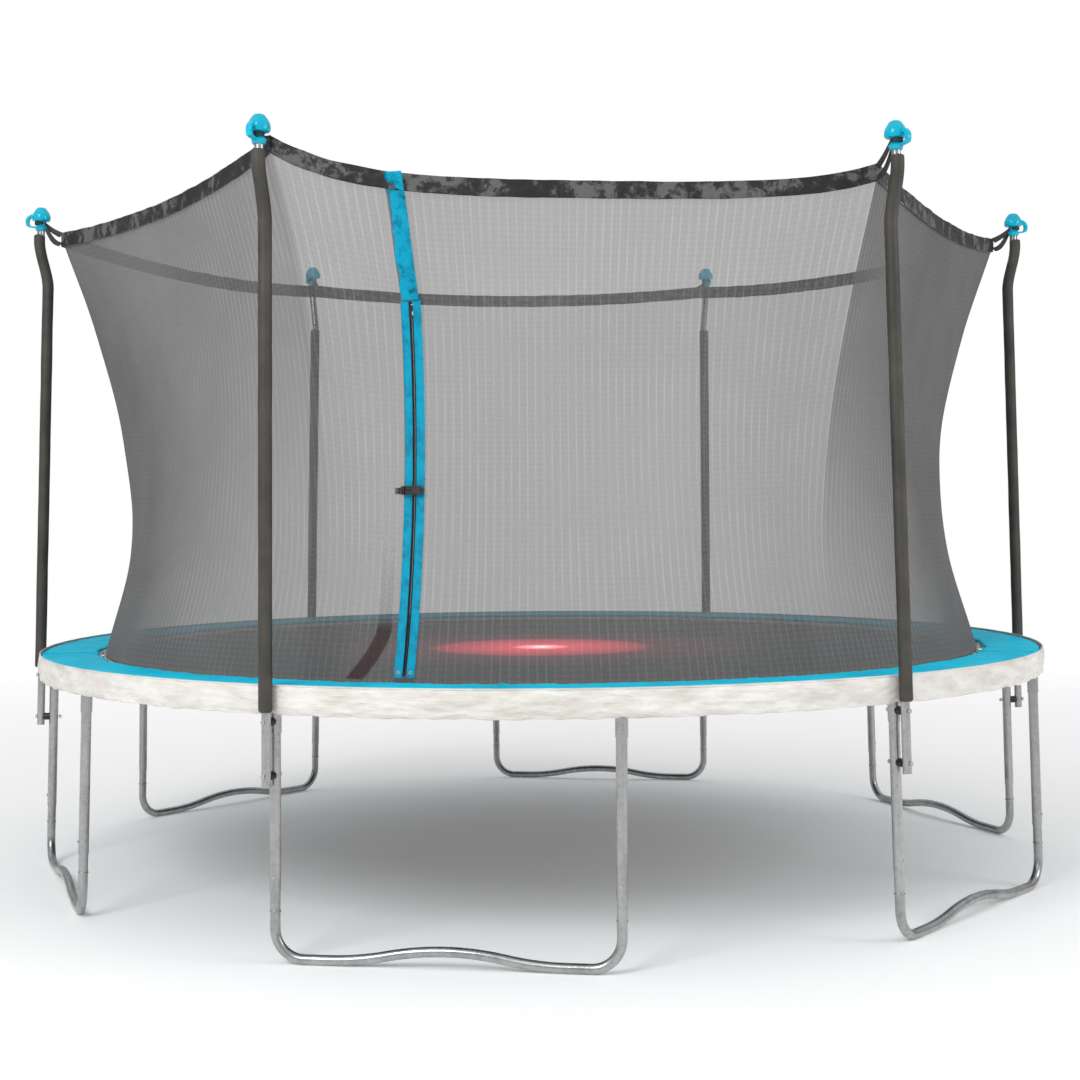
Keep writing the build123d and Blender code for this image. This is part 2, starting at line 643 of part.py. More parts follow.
# ---- door header, edge trims, zip chain, slider and pull ----
TRIM_OUT = TRIM_IN + TRIM_WIDTH
COIL_GAP = 1.6
COIL_OUT = 5.0
save(zip_strip(HEADER_BOTTOM_Z, 2586, [(-33, 33, -1.0, 1.0)]), "door_header")
save(zip_strip(ZIP_FOOT_Z, HEADER_BOTTOM_Z - 1, [(-TRIM_OUT, -TRIM_IN, 0.6, 2.2)]), "door_trim_left")
save(zip_strip(ZIP_FOOT_Z, ZIP_TOP_Z, [(TRIM_IN, TRIM_OUT, 0.6, 2.2)]), "door_trim_right")
COIL_BOXES = [(COIL_GAP, COIL_OUT, -1.5, 1.5), (COIL_OUT - 0.1, 14, -0.3, 0.3)]
save(zip_strip(ZIP_FOOT_Z + 8, ZIP_TOP_Z, COIL_BOXES), "zip_coil_right")
LEFT_COIL_BOXES = [(-x_to, -x_from, out_from, out_to) for x_from, x_to, out_from, out_to in COIL_BOXES]
save(zip_strip(ZIP_FOOT_Z + 8, HEADER_BOTTOM_Z - 1, LEFT_COIL_BOXES), "zip_coil_left")

slider_plane = door_plane(SLIDER_Z)
SLIDER_LENGTH = 22.0
with BuildPart() as zip_slider:
    for low in (-3.2, 2.1):
        with BuildSketch(slider_plane.offset(low)):
            RectangleRounded(12.4, SLIDER_LENGTH, 3)
        extrude(amount=1.1)
    with BuildSketch(slider_plane.offset(-2.2)):
        with Locations((0, SLIDER_LENGTH / 2 - 3)):
            Rectangle(2, 4)
    extrude(amount=4.4)
    with BuildSketch(slider_plane.offset(3.1)):
        with Locations((0, 7), (0, -5)):
            Rectangle(3, 2)
    extrude(amount=3.4)
    with BuildSketch(slider_plane.offset(6.4)):
        with Locations((0, 1)):
            Rectangle(3, 14)
    extrude(amount=1.2)
save(zip_slider.part, "zip_slider")

with BuildPart() as zip_pull:
    with BuildSketch(slider_plane.offset(4.0)):
        with Locations((0, -14)):
            RectangleRounded(9, 38, 3)
        with Locations((0, 1.8)):
            Rectangle(4.2, 3.6, mode=Mode.SUBTRACT)
        with Locations((0, -4)):
            Rectangle(4.2, 9, mode=Mode.SUBTRACT)
    extrude(amount=1.6)
save(zip_pull.part, "zip_pull")

# ---- quick-release buckle, standing clear of the zip on two short straps ----
BUCKLE_LIFT = 12.0
buckle_plane = door_plane(BUCKLE_Z)
with BuildPart() as buckle_socket:
    with BuildSketch(buckle_plane.offset(BUCKLE_LIFT)):
        with Locations((-23, 0)):
            RectangleRounded(42, 30, 3)
    extrude(amount=9)
    with BuildSketch(buckle_plane.offset(BUCKLE_LIFT + 1.6)):
        with Locations((-15, 0)):
            Rectangle(34, 24)
    extrude(amount=12, mode=Mode.SUBTRACT)
    with BuildSketch(buckle_plane.offset(BUCKLE_LIFT - 1)):
        with Locations((-38, 0)):
            Rectangle(3, 22)
    extrude(amount=14, mode=Mode.SUBTRACT)
save(buckle_socket.part, "buckle_socket")

with BuildPart() as buckle_plug:
    with BuildSketch(buckle_plane.offset(BUCKLE_LIFT + 2.2)):
        with BuildLine():
            Polyline((-1, 11), (-24, 11), (-29, 6), (-24, 5), (-24, -5), (-29, -6), (-24, -11), (-1, -11))
            Line((-1, -11), (-1, 11))
        make_face()
        with Locations((-15, 0)):
            SlotOverall(16, 5, mode=Mode.SUBTRACT)
    extrude(amount=5)
    with BuildSketch(buckle_plane.offset(BUCKLE_LIFT + 1)):
        with BuildLine():
            Polyline((-1.5, 15), (26, 15), (40, 8), (40, -8), (26, -15), (-1.5, -15), close=True)
        make_face()
        fillet(vertices(), 2)
        with Locations((30, 0)):
            Rectangle(3, 14, mode=Mode.SUBTRACT)
    extrude(amount=8)
save(buckle_plug.part, "buckle_plug")

with BuildPart() as strap_left:
    with BuildSketch(Plane(origin=buckle_plane.origin, x_dir=zip_right, z_dir=-buckle_plane.y_dir)):
        with BuildLine():
            Polyline(
                (-64, BUCKLE_LIFT + 7.6),
                (-54, BUCKLE_LIFT + 5.6),
                (-44.6, BUCKLE_LIFT + 3.2),
                (-44.6, BUCKLE_LIFT + 4.6),
                (-54, BUCKLE_LIFT + 7.0),
                (-64, BUCKLE_LIFT + 9.0),
                close=True,
            )
        make_face()
    extrude(amount=11, both=True)
save(strap_left.part, "buckle_strap_left")

with BuildPart() as strap_right:
    with BuildSketch(Plane(origin=buckle_plane.origin, x_dir=zip_right, z_dir=-buckle_plane.y_dir)):
        with BuildLine():
            Polyline(
                (16, 2.6),
                (36, 2.6),
                (36, 4.0),
                (30, 4.0),
                (24, BUCKLE_LIFT),
                (22, BUCKLE_LIFT),
                (27, 4.0),
                (16, 4.0),
                close=True,
            )
        make_face()
    extrude(amount=9, both=True)
save(strap_right.part, "buckle_strap_right")

for side, x in (("left", -22), ("right", 22)):
    with BuildPart() as door_tie:
        with BuildSketch(door_plane(ZIP_FOOT_Z + 14).offset(2.6)):
            with Locations((x, 0)):
                Circle(6)
                Circle(3.2, mode=Mode.SUBTRACT)
        extrude(amount=3)
    save(door_tie.part, f"door_tie_{side}")

# ---- light module under the middle of the mat ----
LIGHT_R = 55.0
LIGHT_TOP_Z = MAT_Z - MAT_T / 2 - 4.5
LIGHT_DEPTH = 30.0
with BuildPart() as light_housing:
    with BuildSketch(Plane.XY.offset(LIGHT_TOP_Z - LIGHT_DEPTH)):
        Circle(LIGHT_R)
    extrude(amount=LIGHT_DEPTH)
    fillet(light_housing.edges().group_by(Axis.Z)[0], 6)
    with BuildSketch(Plane.XY.offset(LIGHT_TOP_Z - LIGHT_DEPTH + 2.5)):
        Circle(LIGHT_R - 3)
    extrude(amount=LIGHT_DEPTH, mode=Mode.SUBTRACT)
    with BuildSketch(Plane.XY.offset(LIGHT_TOP_Z - LIGHT_DEPTH)):
        with Locations((0, 12)):
            Rectangle(64, 40)
        with Locations((0, -30)):
            Circle(7)
    extrude(amount=4, mode=Mode.SUBTRACT)
    with BuildSketch(Plane.XY.offset(LIGHT_TOP_Z - 8)):
        with PolarLocations(LIGHT_R + 5, 4, start_angle=45):
            RectangleRounded(18, 26, 4)
        with PolarLocations(LIGHT_R + 8, 4, start_angle=45):
            Rectangle(4, 18, mode=Mode.SUBTRACT)
        Circle(LIGHT_R - 2, mode=Mode.SUBTRACT)
    extrude(amount=4)
save(light_housing.part, "light_housing")

with BuildPart() as light_lens:
    with BuildSketch(Plane.XZ):
        with BuildLine():
            Line((0, LIGHT_TOP_Z + 3.5), (30, LIGHT_TOP_Z + 3.2))
            ThreePointArc((30, LIGHT_TOP_Z + 3.2), (48, LIGHT_TOP_Z + 2.2), (LIGHT_R, LIGHT_TOP_Z + 0.4))
            Polyline(
                (LIGHT_R, LIGHT_TOP_Z + 0.4),
                (LIGHT_R, LIGHT_TOP_Z + 0.1),
                (0, LIGHT_TOP_Z + 0.1),
                (0, LIGHT_TOP_Z + 3.5),
            )
        make_face()
    revolve(axis=Axis.Z)
save(light_lens.part, "light_lens")

with BuildPart() as light_board:
    with BuildSketch(Plane.XY.offset(LIGHT_TOP_Z - 7)):
        Circle(LIGHT_R - 4)
    extrude(amount=1.6)
    with BuildSketch(Plane.XY.offset(LIGHT_TOP_Z - 5.4)):
        with PolarLocations(30, 6):
            Rectangle(5, 5)
        Circle(4)
    extrude(amount=2)
save(light_board.part, "light_board")

with BuildPart() as light_batteries:
    with BuildSketch(Plane.YZ.offset(-25)):
        with GridLocations(15.5, 1, 2, 1):
            with Locations((12, LIGHT_TOP_Z - LIGHT_DEPTH + 13)):
                Circle(7)
    extrude(amount=50)
save(light_batteries.part, "light_batteries")

with BuildPart() as battery_cover:
    with BuildSketch(Plane.XY.offset(LIGHT_TOP_Z - LIGHT_DEPTH)):
        with Locations((0, 12)):
            RectangleRounded(63.4, 39.4, 2)
    extrude(amount=2.4)
save(battery_cover.part, "light_battery_cover")

with BuildPart() as light_button:
    with BuildSketch(Plane.XY.offset(LIGHT_TOP_Z - LIGHT_DEPTH - 2)):
        with Locations((0, -30)):
            Circle(6.4)
    extrude(amount=6)
    with BuildSketch(Plane.XY.offset(LIGHT_TOP_Z - LIGHT_DEPTH + 3)):
        with Locations((0, -30)):
            Circle(8.4)
    extrude(amount=1.6)
save(light_button.part, "light_button")

with BuildPart() as light_straps:
    with BuildSketch(Plane.XY.offset(LIGHT_TOP_Z - 1.6)):
        with PolarLocations(LIGHT_R + 27, 4, start_angle=45):
            Rectangle(40, 17)
    extrude(amount=1.6)
save(light_straps.part, "light_straps")
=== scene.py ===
import json
from math import cos, degrees, pi, radians, sin, sqrt, tan

import bpy
from mathutils import Matrix, Vector, noise


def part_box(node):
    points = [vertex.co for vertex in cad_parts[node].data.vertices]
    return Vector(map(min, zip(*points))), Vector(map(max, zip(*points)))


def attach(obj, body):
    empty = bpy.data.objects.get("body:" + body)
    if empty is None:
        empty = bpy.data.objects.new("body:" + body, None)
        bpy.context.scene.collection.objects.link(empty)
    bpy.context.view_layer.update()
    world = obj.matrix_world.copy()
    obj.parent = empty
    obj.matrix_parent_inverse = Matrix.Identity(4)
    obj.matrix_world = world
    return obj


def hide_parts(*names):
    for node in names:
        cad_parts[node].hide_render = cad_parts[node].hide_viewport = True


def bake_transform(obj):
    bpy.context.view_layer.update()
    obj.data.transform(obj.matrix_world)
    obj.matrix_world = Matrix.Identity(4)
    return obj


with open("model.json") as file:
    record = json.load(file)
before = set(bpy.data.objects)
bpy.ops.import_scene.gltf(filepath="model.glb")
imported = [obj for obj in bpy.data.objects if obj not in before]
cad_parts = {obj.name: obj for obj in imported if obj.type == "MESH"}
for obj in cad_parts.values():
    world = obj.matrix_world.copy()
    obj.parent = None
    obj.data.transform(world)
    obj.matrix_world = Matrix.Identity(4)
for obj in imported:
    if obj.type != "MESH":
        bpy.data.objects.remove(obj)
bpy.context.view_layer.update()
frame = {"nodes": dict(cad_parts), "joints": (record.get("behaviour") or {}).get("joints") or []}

# Round garden trampoline with a netted enclosure. Metres, +Z up, doorway towards -Y.
# Polar angles are in degrees, counter-clockwise from +X, so the front is at -90.

# ---- sizes read from the frame, and two tube and hem sizes that it doesn't give ----
NODES = frame["nodes"]
RAIL_TUBE_R = 0.019
RAIL_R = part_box("top_rails")[1].x - RAIL_TUBE_R
MAT_LOW, MAT_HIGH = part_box("jump_mat")
MAT_R = MAT_HIGH.x
MAT_Z = (MAT_LOW.z + MAT_HIGH.z) / 2
HEM_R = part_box("mat_hem")[1].x
HEM_IN_R = 1.860
PAD_LOW, PAD_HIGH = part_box("pad_cover")
PAD_OUT_R = PAD_HIGH.x
SKIRT_LOW, SKIRT_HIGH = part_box("pad_skirt")

# ---- layout shared with the frame ----
SECTORS = 6
FIRST_POLE = -120.0
LEG_SPAN = 32.0
LEG_SPLAY = radians(1.8)
RAIL_Z = 0.890
POLE_OFFSET = 0.054
POLE_OUT = 0.040
BEND_LOW_Z = 2.500
BEND_HIGH_Z = 2.670
SLEEVE_R = 0.0235
SLEEVE_BORE_R = 0.0165
SLEEVE_ROUNDING = 0.005
SLEEVE_BOTTOM_Z = 0.845
SLEEVE_TOP_Z = 2.712
REAR_SLEEVE_TOP_Z = 2.490
REAR_POLES = (3, 4)
CAP_NECK_Z = 2.761
CAP_MIDDLE_Z = 2.748
CAP_SKIRT_CUT = 0.6
PAD_IN_R = 1.898
PAD_SEAM_ANGLE = -99.0
PAD_SECTIONS = 5
SPRINGS = 84
SPRING_START = -134.0 + 180.0 / SPRINGS
SPRING_IN_R = 1.929
SPRING_OUT_R = 2.077
SPRING_COIL_R = 0.0102
SPRING_WIRE_R = 0.0017
RING_TIP_R = 1.912
RAIL_HOLE_R = 2.106
BED_SECTORS = 12

# ---- enclosure net ----
# radius and height of the top band at each pole: the first corner is pulled up tight
BAND_CORNERS = ((2.108, 2.735), (2.050, 2.672), *[(2.062, 2.690)] * 4)
BAND_HALF = 0.030
BAND_MIDDLE_Z = (2.598, 2.625, 2.638, 2.640, 2.638, 2.650)
HEM_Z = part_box("enclosure_net")[0].z
NET_STEPS = (0.0, 0.24, 0.52, 0.78, 1.0)
NET_CORNER_R = (1.876, 1.778, 1.815, 1.925)
NET_MIDDLE_R = (1.876, 1.755, 1.690, 1.712)
ZIP_ANGLE = -109.5
ZIP_ARC_R = 2.746
ZIP_WAIST_R = 1.735
ZIP_WAIST_Z = 1.800
ZIP_FOOT_Z = 0.944
ZIP_TOP_Z = 2.186
HEADER_BOTTOM_Z = 2.236
BUCKLE_Z = 1.580
TRIM_IN = 0.007
TRIM_WIDTH = 0.030
HEADER_HALF = 0.032
UP = Vector((0, 0, 1))


def outward(angle):
    return Vector((cos(radians(angle)), sin(radians(angle)), 0))


def polar(angle, radius, height):
    return outward(angle) * radius + UP * height


def smooth(t):
    t = min(1.0, max(0.0, t))
    return t * t * (3 - 2 * t)


def cubic(values, steps, s):
    """Smooth curve through values at the given steps."""
    s = min(max(s, steps[0]), steps[-1])
    i = max(k for k in range(len(steps) - 1) if steps[k] <= s)

    def slope(k):
        low, high = max(k - 1, 0), min(k + 1, len(steps) - 1)
        return (values[high] - values[low]) / (steps[high] - steps[low])

    width = steps[i + 1] - steps[i]
    t = (s - steps[i]) / width
    a, b = values[i], values[i + 1]
    m, n = slope(i) * width, slope(i + 1) * width
    blend_a, blend_b = 2 * t**3 - 3 * t**2 + 1, 3 * t**2 - 2 * t**3
    return blend_a * a + (t**3 - 2 * t**2 + t) * m + blend_b * b + (t**3 - t**2) * n


def zip_radius(z):
    """Radius of the zip's line: an arc that is nearest the middle at the waist."""
    return ZIP_WAIST_R + ZIP_ARC_R - sqrt(ZIP_ARC_R**2 - (z - ZIP_WAIST_Z) ** 2)


def panel_turn(angle):
    """Angle from the middle of the net panel that holds this direction, -30 to 30."""
    return (angle + 90 + 30) % 60 - 30


def chord_radius(turn, corner_r, middle_r):
    """Radius along a panel whose outline is an arc through two corners and the middle."""
    half, depth = corner_r * 0.5, corner_r * cos(radians(30))
    rise = max(middle_r - depth, 1e-4)
    big = (half**2 + rise**2) / (2 * rise)
    centre = middle_r - big
    c, s = cos(radians(turn)), sin(radians(turn))
    return centre * c + sqrt(big**2 - (centre * s) ** 2)


def band_place(angle):
    """Panel number, share of the way across it, and the two corners beside it."""
    panel = int((angle + 120) % 360 // 60)
    across = (tan(radians(panel_turn(angle))) / tan(radians(30)) + 1) / 2
    return panel, across, BAND_CORNERS[panel], BAND_CORNERS[(panel + 1) % SECTORS]


def band_corner_r(angle):
    """Radius of the band's corners, shared out between the two beside this direction."""
    panel, across, first, last = band_place(angle)
    return first[0] + (last[0] - first[0]) * across


def band_radius(angle):
    r = band_corner_r(angle)
    return chord_radius(panel_turn(angle), r, r * cos(radians(30)) + 0.004)


def band_z(angle):
    """Height of the middle of the top band: it hangs between the poles, and most over the doorway."""
    panel, across, first, last = band_place(angle)
    middle = BAND_MIDDLE_Z[panel]
    end = first[1] if across < 0.5 else last[1]
    slack = abs(2 * across - 1)
    lift = 0.75 * slack**5 + 0.25 * slack**2 if panel == 0 else slack**2
    return middle + (end - middle) * lift


def door_radius(z):
    """Radius of the doorway's line: the zip's arc, then straight up to the band."""
    if z <= HEADER_BOTTOM_Z:
        return zip_radius(z)
    share = (z - HEADER_BOTTOM_Z) / (band_z(ZIP_ANGLE) - HEADER_BOTTOM_Z)
    low = zip_radius(HEADER_BOTTOM_Z)
    return low + (band_radius(ZIP_ANGLE) - low) * share


def net_point(angle, s, lift=0.0):
    """Point on the net: s runs from 0 at the hem to 1 under the band; lift is outward."""
    top = band_z(angle) - BAND_HALF + 0.006
    z = HEM_Z + (top - HEM_Z) * s
    turn, top_r = panel_turn(angle), band_corner_r(angle)
    corner_r = cubic((*NET_CORNER_R, top_r - 0.004), NET_STEPS, s)
    middle_r = cubic((*NET_MIDDLE_R, top_r * cos(radians(30))), NET_STEPS, s)
    r = chord_radius(turn, corner_r, middle_r)
    near = smooth(1 - abs(angle - ZIP_ANGLE) / 9.0)
    if near > 0:
        seam = chord_radius(panel_turn(ZIP_ANGLE), corner_r, middle_r)
        r += near * (door_radius(z) - seam)
    return polar(angle, r + lift, z)


# ---- mesh helpers ----
class Shape:
    """Collects vertices, faces and UVs of one piece."""

    def __init__(self):
        self.verts, self.faces, self.uvs, self.mats = [], [], [], []

    def grid(self, point, columns, rows, uv=(1.0, 1.0), closed=False, mat=0, flip=False):
        """A sheet of quads from point(u, v), both 0 to 1."""
        base = len(self.verts)
        wide = columns if closed else columns + 1
        for j in range(rows + 1):
            for i in range(wide):
                self.verts.append(point(i / columns, j / rows))
        for j in range(rows):
            for i in range(columns):
                a, b = base + j * wide + i, base + j * wide + (i + 1) % wide
                quad = [a, b, b + wide, a + wide]
                corner = [(i, j), (i + 1, j), (i + 1, j + 1), (i, j + 1)]
                if flip:
                    quad, corner = quad[::-1], corner[::-1]
                self.faces.append(quad)
                self.uvs.append([(p / columns * uv[0], q / rows * uv[1]) for p, q in corner])
                self.mats.append(mat)

    def tube(self, points, radius, sides=6, closed=False, mat=0):
        """A round tube along points, with end caps unless it is closed."""
        base, n = len(self.verts), len(points)
        normal = None
        for k, p in enumerate(points):
            before = points[k - 1] if k or closed else p
            after = points[(k + 1) % n] if k < n - 1 or closed else p
            along = (after - before).normalized()
            if normal is None:
                normal = along.orthogonal().normalized()
            normal = (normal - along * normal.dot(along)).normalized()
            side = along.cross(normal)
            for q in range(sides):
                turn = 2 * pi * q / sides
                self.verts.append(p + (normal * cos(turn) + side * sin(turn)) * radius)
        for k in range(n if closed else n - 1):
            for q in range(sides):
                a, b = base + k * sides, base + (k + 1) % n * sides
                self.add_face([a + q, a + (q + 1) % sides, b + (q + 1) % sides, b + q], mat)
        if not closed:
            self.add_face([base + q for q in reversed(range(sides))], mat)
            self.add_face([base + (n - 1) * sides + q for q in range(sides)], mat)

    def add_face(self, face, mat=0):
        self.faces.append(face)
        self.uvs.append([(0.0, 0.0)] * len(face))
        self.mats.append(mat)

    def build(self, name, materials, thickness=0.0):
        mesh = bpy.data.meshes.new(name)
        mesh.from_pydata([tuple(v) for v in self.verts], [], self.faces)
        layer = mesh.uv_layers.new(name="UVMap")
        flat = [c for face in self.uvs for uv in face for c in uv]
        layer.data.foreach_set("uv", flat)
        mesh.polygons.foreach_set("material_index", self.mats)
        mesh.polygons.foreach_set("use_smooth", [True] * len(self.faces))
        for material in materials:
            mesh.materials.append(material)
        mesh.update()
        piece = bpy.data.objects.new(name, mesh)
        bpy.context.scene.collection.objects.link(piece)
        if thickness:
            thicken(piece, thickness)
        return piece


def thicken(piece, thickness):
    """Give a sheet its thickness, half on each side."""
    modifier = piece.modifiers.new("thick", "SOLIDIFY")
    modifier.thickness, modifier.offset = thickness, 0.0
    graph = bpy.context.evaluated_depsgraph_get()
    mesh = bpy.data.meshes.new_from_object(piece.evaluated_get(graph))
    piece.modifiers.clear()
    piece.data = mesh


def on_frame(piece, finish, *replaced):
    """Fix a piece to the frame body; it stands in for the CAD nodes named last."""
    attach(piece, "frame")
    if replaced:
        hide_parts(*replaced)


def wobble(p, scale, seed=0.0):
    """Smooth noise from -1 to 1."""
    return noise.noise(Vector((p[0] * scale + seed, p[1] * scale - seed, p[2] * scale + 0.37 * seed)))


# ---- materials ----
class Paint:
    """A node material built step by step around one Principled shader."""

    def __init__(self, name, roughness=0.5, metallic=0.0):
        self.material = bpy.data.materials.new(name)
        self.material.use_nodes = True
        self.tree = self.material.node_tree
        self.shader = self.tree.nodes["Principled BSDF"]
        self.shader.inputs["Roughness"].default_value = roughness
        self.shader.inputs["Metallic"].default_value = metallic
        self.place = self.node("ShaderNodeTexCoord").outputs["Object"]
        self.height = None

    def node(self, kind, **settings):
        made = self.tree.nodes.new(kind)
        for key, value in settings.items():
            setattr(made, key, value)
        return made

    def link(self, source, target):
        self.tree.links.new(source, target)

    def uv(self):
        return self.node("ShaderNodeTexCoord").outputs["UV"]

    def stretch(self, vector, scale):
        mapping = self.node("ShaderNodeMapping")
        mapping.inputs["Scale"].default_value = scale
        self.link(vector, mapping.inputs["Vector"])
        return mapping.outputs["Vector"]

    def noise(self, scale, detail=4.0, vector=None, rough=0.55):
        made = self.node("ShaderNodeTexNoise")
        made.inputs["Scale"].default_value = scale
        made.inputs["Detail"].default_value = detail
        made.inputs["Roughness"].default_value = rough
        self.link(vector or self.place, made.inputs["Vector"])
        return made.outputs["Fac"]

    def voronoi(self, scale, feature="F1"):
        made = self.node("ShaderNodeTexVoronoi", feature=feature)
        made.inputs["Scale"].default_value = scale
        self.link(self.place, made.inputs["Vector"])
        return made.outputs["Distance"]

    def wave(self, scale, vector=None, axis="X", distortion=0.0):
        made = self.node("ShaderNodeTexWave", bands_direction=axis)
        made.inputs["Scale"].default_value = scale
        made.inputs["Distortion"].default_value = distortion
        self.link(vector or self.place, made.inputs["Vector"])
        return made.outputs["Fac"]

    def math(self, operation, a, b=0.0, clamp=False):
        made = self.node("ShaderNodeMath", operation=operation, use_clamp=clamp)
        for slot, value in zip(made.inputs, (a, b)):
            if isinstance(value, (int, float)):
                slot.default_value = value
            else:
                self.link(value, slot)
        return made.outputs[0]

    def ramp(self, source, stops):
        """A colour ramp: stops are (position, colour or grey value)."""
        made = self.node("ShaderNodeValToRGB")
        elements = made.color_ramp.elements
        while len(elements) < len(stops):
            elements.new(0.5)
        for element, (position, colour) in zip(elements, stops):
            element.position = position
            rgb = (colour,) * 3 if isinstance(colour, (int, float)) else colour
            element.color = (*rgb, 1.0)
        self.link(source, made.inputs["Fac"])
        return made.outputs["Color"]

    def mix(self, factor, a, b, blend="MIX"):
        made = self.node("ShaderNodeMix", data_type="RGBA", blend_type=blend)
        for slot, value in zip((made.inputs[0], made.inputs[6], made.inputs[7]), (factor, a, b)):
            if isinstance(value, (int, float)):
                slot.default_value = value
            elif isinstance(value, tuple):
                slot.default_value = (*value, 1.0)
            else:
                self.link(value, slot)
        return made.outputs[2]

    def bump(self, height, strength, distance=0.002):
        """Adds one layer of relief on top of the last."""
        made = self.node("ShaderNodeBump")
        made.inputs["Strength"].default_value = strength
        made.inputs["Distance"].default_value = distance
        self.link(height, made.inputs["Height"])
        if self.height is not None:
            self.link(self.height, made.inputs["Normal"])
        self.height = made.outputs["Normal"]
        self.link(self.height, self.shader.inputs["Normal"])

    def set(self, name, source):
        slot = self.shader.inputs[name]
        if isinstance(source, (int, float)):
            slot.default_value = source
        elif isinstance(source, tuple):
            slot.default_value = (*source, 1.0)
        else:
            self.link(source, slot)


def galvanised_steel():
    paint = Paint("galvanised_steel", metallic=0.9)
    spangle = paint.voronoi(60.0, feature="F2")
    cloud = paint.noise(9.0)
    streak = paint.noise(26.0, vector=paint.stretch(paint.place, (1.0, 1.0, 0.06)))
    tone = paint.math("ADD", paint.math("MULTIPLY", cloud, 0.55), paint.math("MULTIPLY", streak, 0.45))
    base = paint.ramp(tone, [(0.3, 0.27), (0.72, 0.50)])
    crystals = paint.ramp(spangle, [(0.2, 0.25), (0.8, 0.75)])
    paint.set("Base Color", paint.mix(0.22, base, crystals, "OVERLAY"))
    paint.set("Roughness", paint.ramp(cloud, [(0.3, 0.20), (0.75, 0.40)]))
    paint.bump(paint.noise(160.0), 0.12, 0.0006)
    return paint.material


def zinc():
    paint = Paint("zinc_plate", metallic=0.95)
    tone = paint.noise(120.0)
    paint.set("Base Color", paint.ramp(tone, [(0.25, (0.42, 0.43, 0.45)), (0.8, (0.66, 0.66, 0.64))]))
    paint.set("Roughness", paint.ramp(tone, [(0.2, 0.22), (0.8, 0.42)]))
    return paint.material


def sleeve_foam():
    paint = Paint("sleeve_foam", roughness=0.62)
    cloud = paint.noise(7.0)
    grain = paint.noise(260.0, detail=2.0)
    crease = paint.noise(24.0, vector=paint.stretch(paint.place, (1.0, 1.0, 0.35)))
    dark, light = (0.027, 0.024, 0.020), (0.070, 0.063, 0.053)
    paint.set("Base Color", paint.ramp(cloud, [(0.28, dark), (0.75, light)]))
    paint.set("Roughness", paint.ramp(crease, [(0.3, 0.5), (0.8, 0.75)]))
    paint.bump(crease, 0.5, 0.006)
    paint.bump(grain, 0.25, 0.001)
    return paint.material


def cap_plastic():
    paint = Paint("cap_plastic", roughness=0.16)
    cloud = paint.noise(14.0)
    paint.set("Base Color", paint.ramp(cloud, [(0.3, (0.0, 0.34, 0.50)), (0.75, (0.001, 0.52, 0.72))]))
    paint.set("Roughness", paint.ramp(paint.noise(60.0), [(0.35, 0.12), (0.8, 0.26)]))
    paint.set("Specular IOR Level", 0.25)
    paint.set("Coat Weight", 0.2)
    paint.bump(paint.noise(40.0, detail=1.0), 0.05, 0.001)
    return paint.material


def black_plastic():
    paint = Paint("black_plastic", roughness=0.4)
    grain = paint.noise(420.0, detail=1.0)
    paint.set("Base Color", paint.ramp(paint.noise(30.0), [(0.3, 0.008), (0.8, 0.022)]))
    paint.set("Roughness", paint.ramp(grain, [(0.3, 0.32), (0.8, 0.5)]))
    paint.bump(grain, 0.2, 0.0004)
    return paint.material


def woven_cloth(name, dark, light, crumple):
    """Coated polyester: a fine plain weave under broad creases, their hollows darkened with painted shade.
    """
    paint = Paint(name, roughness=0.6)
    crease = paint.noise(11.0, detail=6.0)
    fold = paint.voronoi(16.0, feature="F2")
    blot = paint.noise(38.0, detail=6.0, rough=0.7)
    tone = paint.math("ADD", paint.math("MULTIPLY", crease, 0.55), paint.math("MULTIPLY", blot, 0.45))
    tone = paint.math("ADD", tone, paint.math("MULTIPLY", fold, 0.06))
    # painted shade: the colour runs dark where the crease relief is low
    paint.set("Base Color", paint.ramp(tone, [(0.42, dark), (0.56, light)]))
    paint.set("Roughness", paint.ramp(crease, [(0.3, 0.48), (0.7, 0.74)]))
    paint.set("Specular IOR Level", 0.15)
    paint.bump(crease, crumple, 0.012)
    weave = paint.math("MAXIMUM", paint.wave(260.0, axis="Z"), paint.wave(260.0, axis="DIAGONAL"))
    paint.bump(weave, 0.18, 0.0006)
    return paint.material


def pad_vinyl():
    paint = Paint("pad_vinyl", roughness=0.4)
    crease = paint.noise(5.0, detail=6.0)
    fine = paint.noise(34.0, detail=5.0)
    grain = paint.voronoi(520.0)
    tone = paint.math("ADD", paint.math("MULTIPLY", crease, 0.6), paint.math("MULTIPLY", fine, 0.4))
    # painted shade: the blue darkens where the crease relief is low, in the hollows of the wrinkles
    paint.set("Base Color", paint.ramp(tone, [(0.36, (0.001, 0.50, 0.75)), (0.60, (0.006, 0.66, 0.92))]))
    paint.set("Roughness", paint.ramp(fine, [(0.3, 0.36), (0.75, 0.58)]))
    paint.set("Specular IOR Level", 0.04)
    paint.bump(crease, 0.6, 0.02)
    paint.bump(fine, 0.4, 0.004)
    paint.bump(grain, 0.08, 0.0004)
    return paint.material


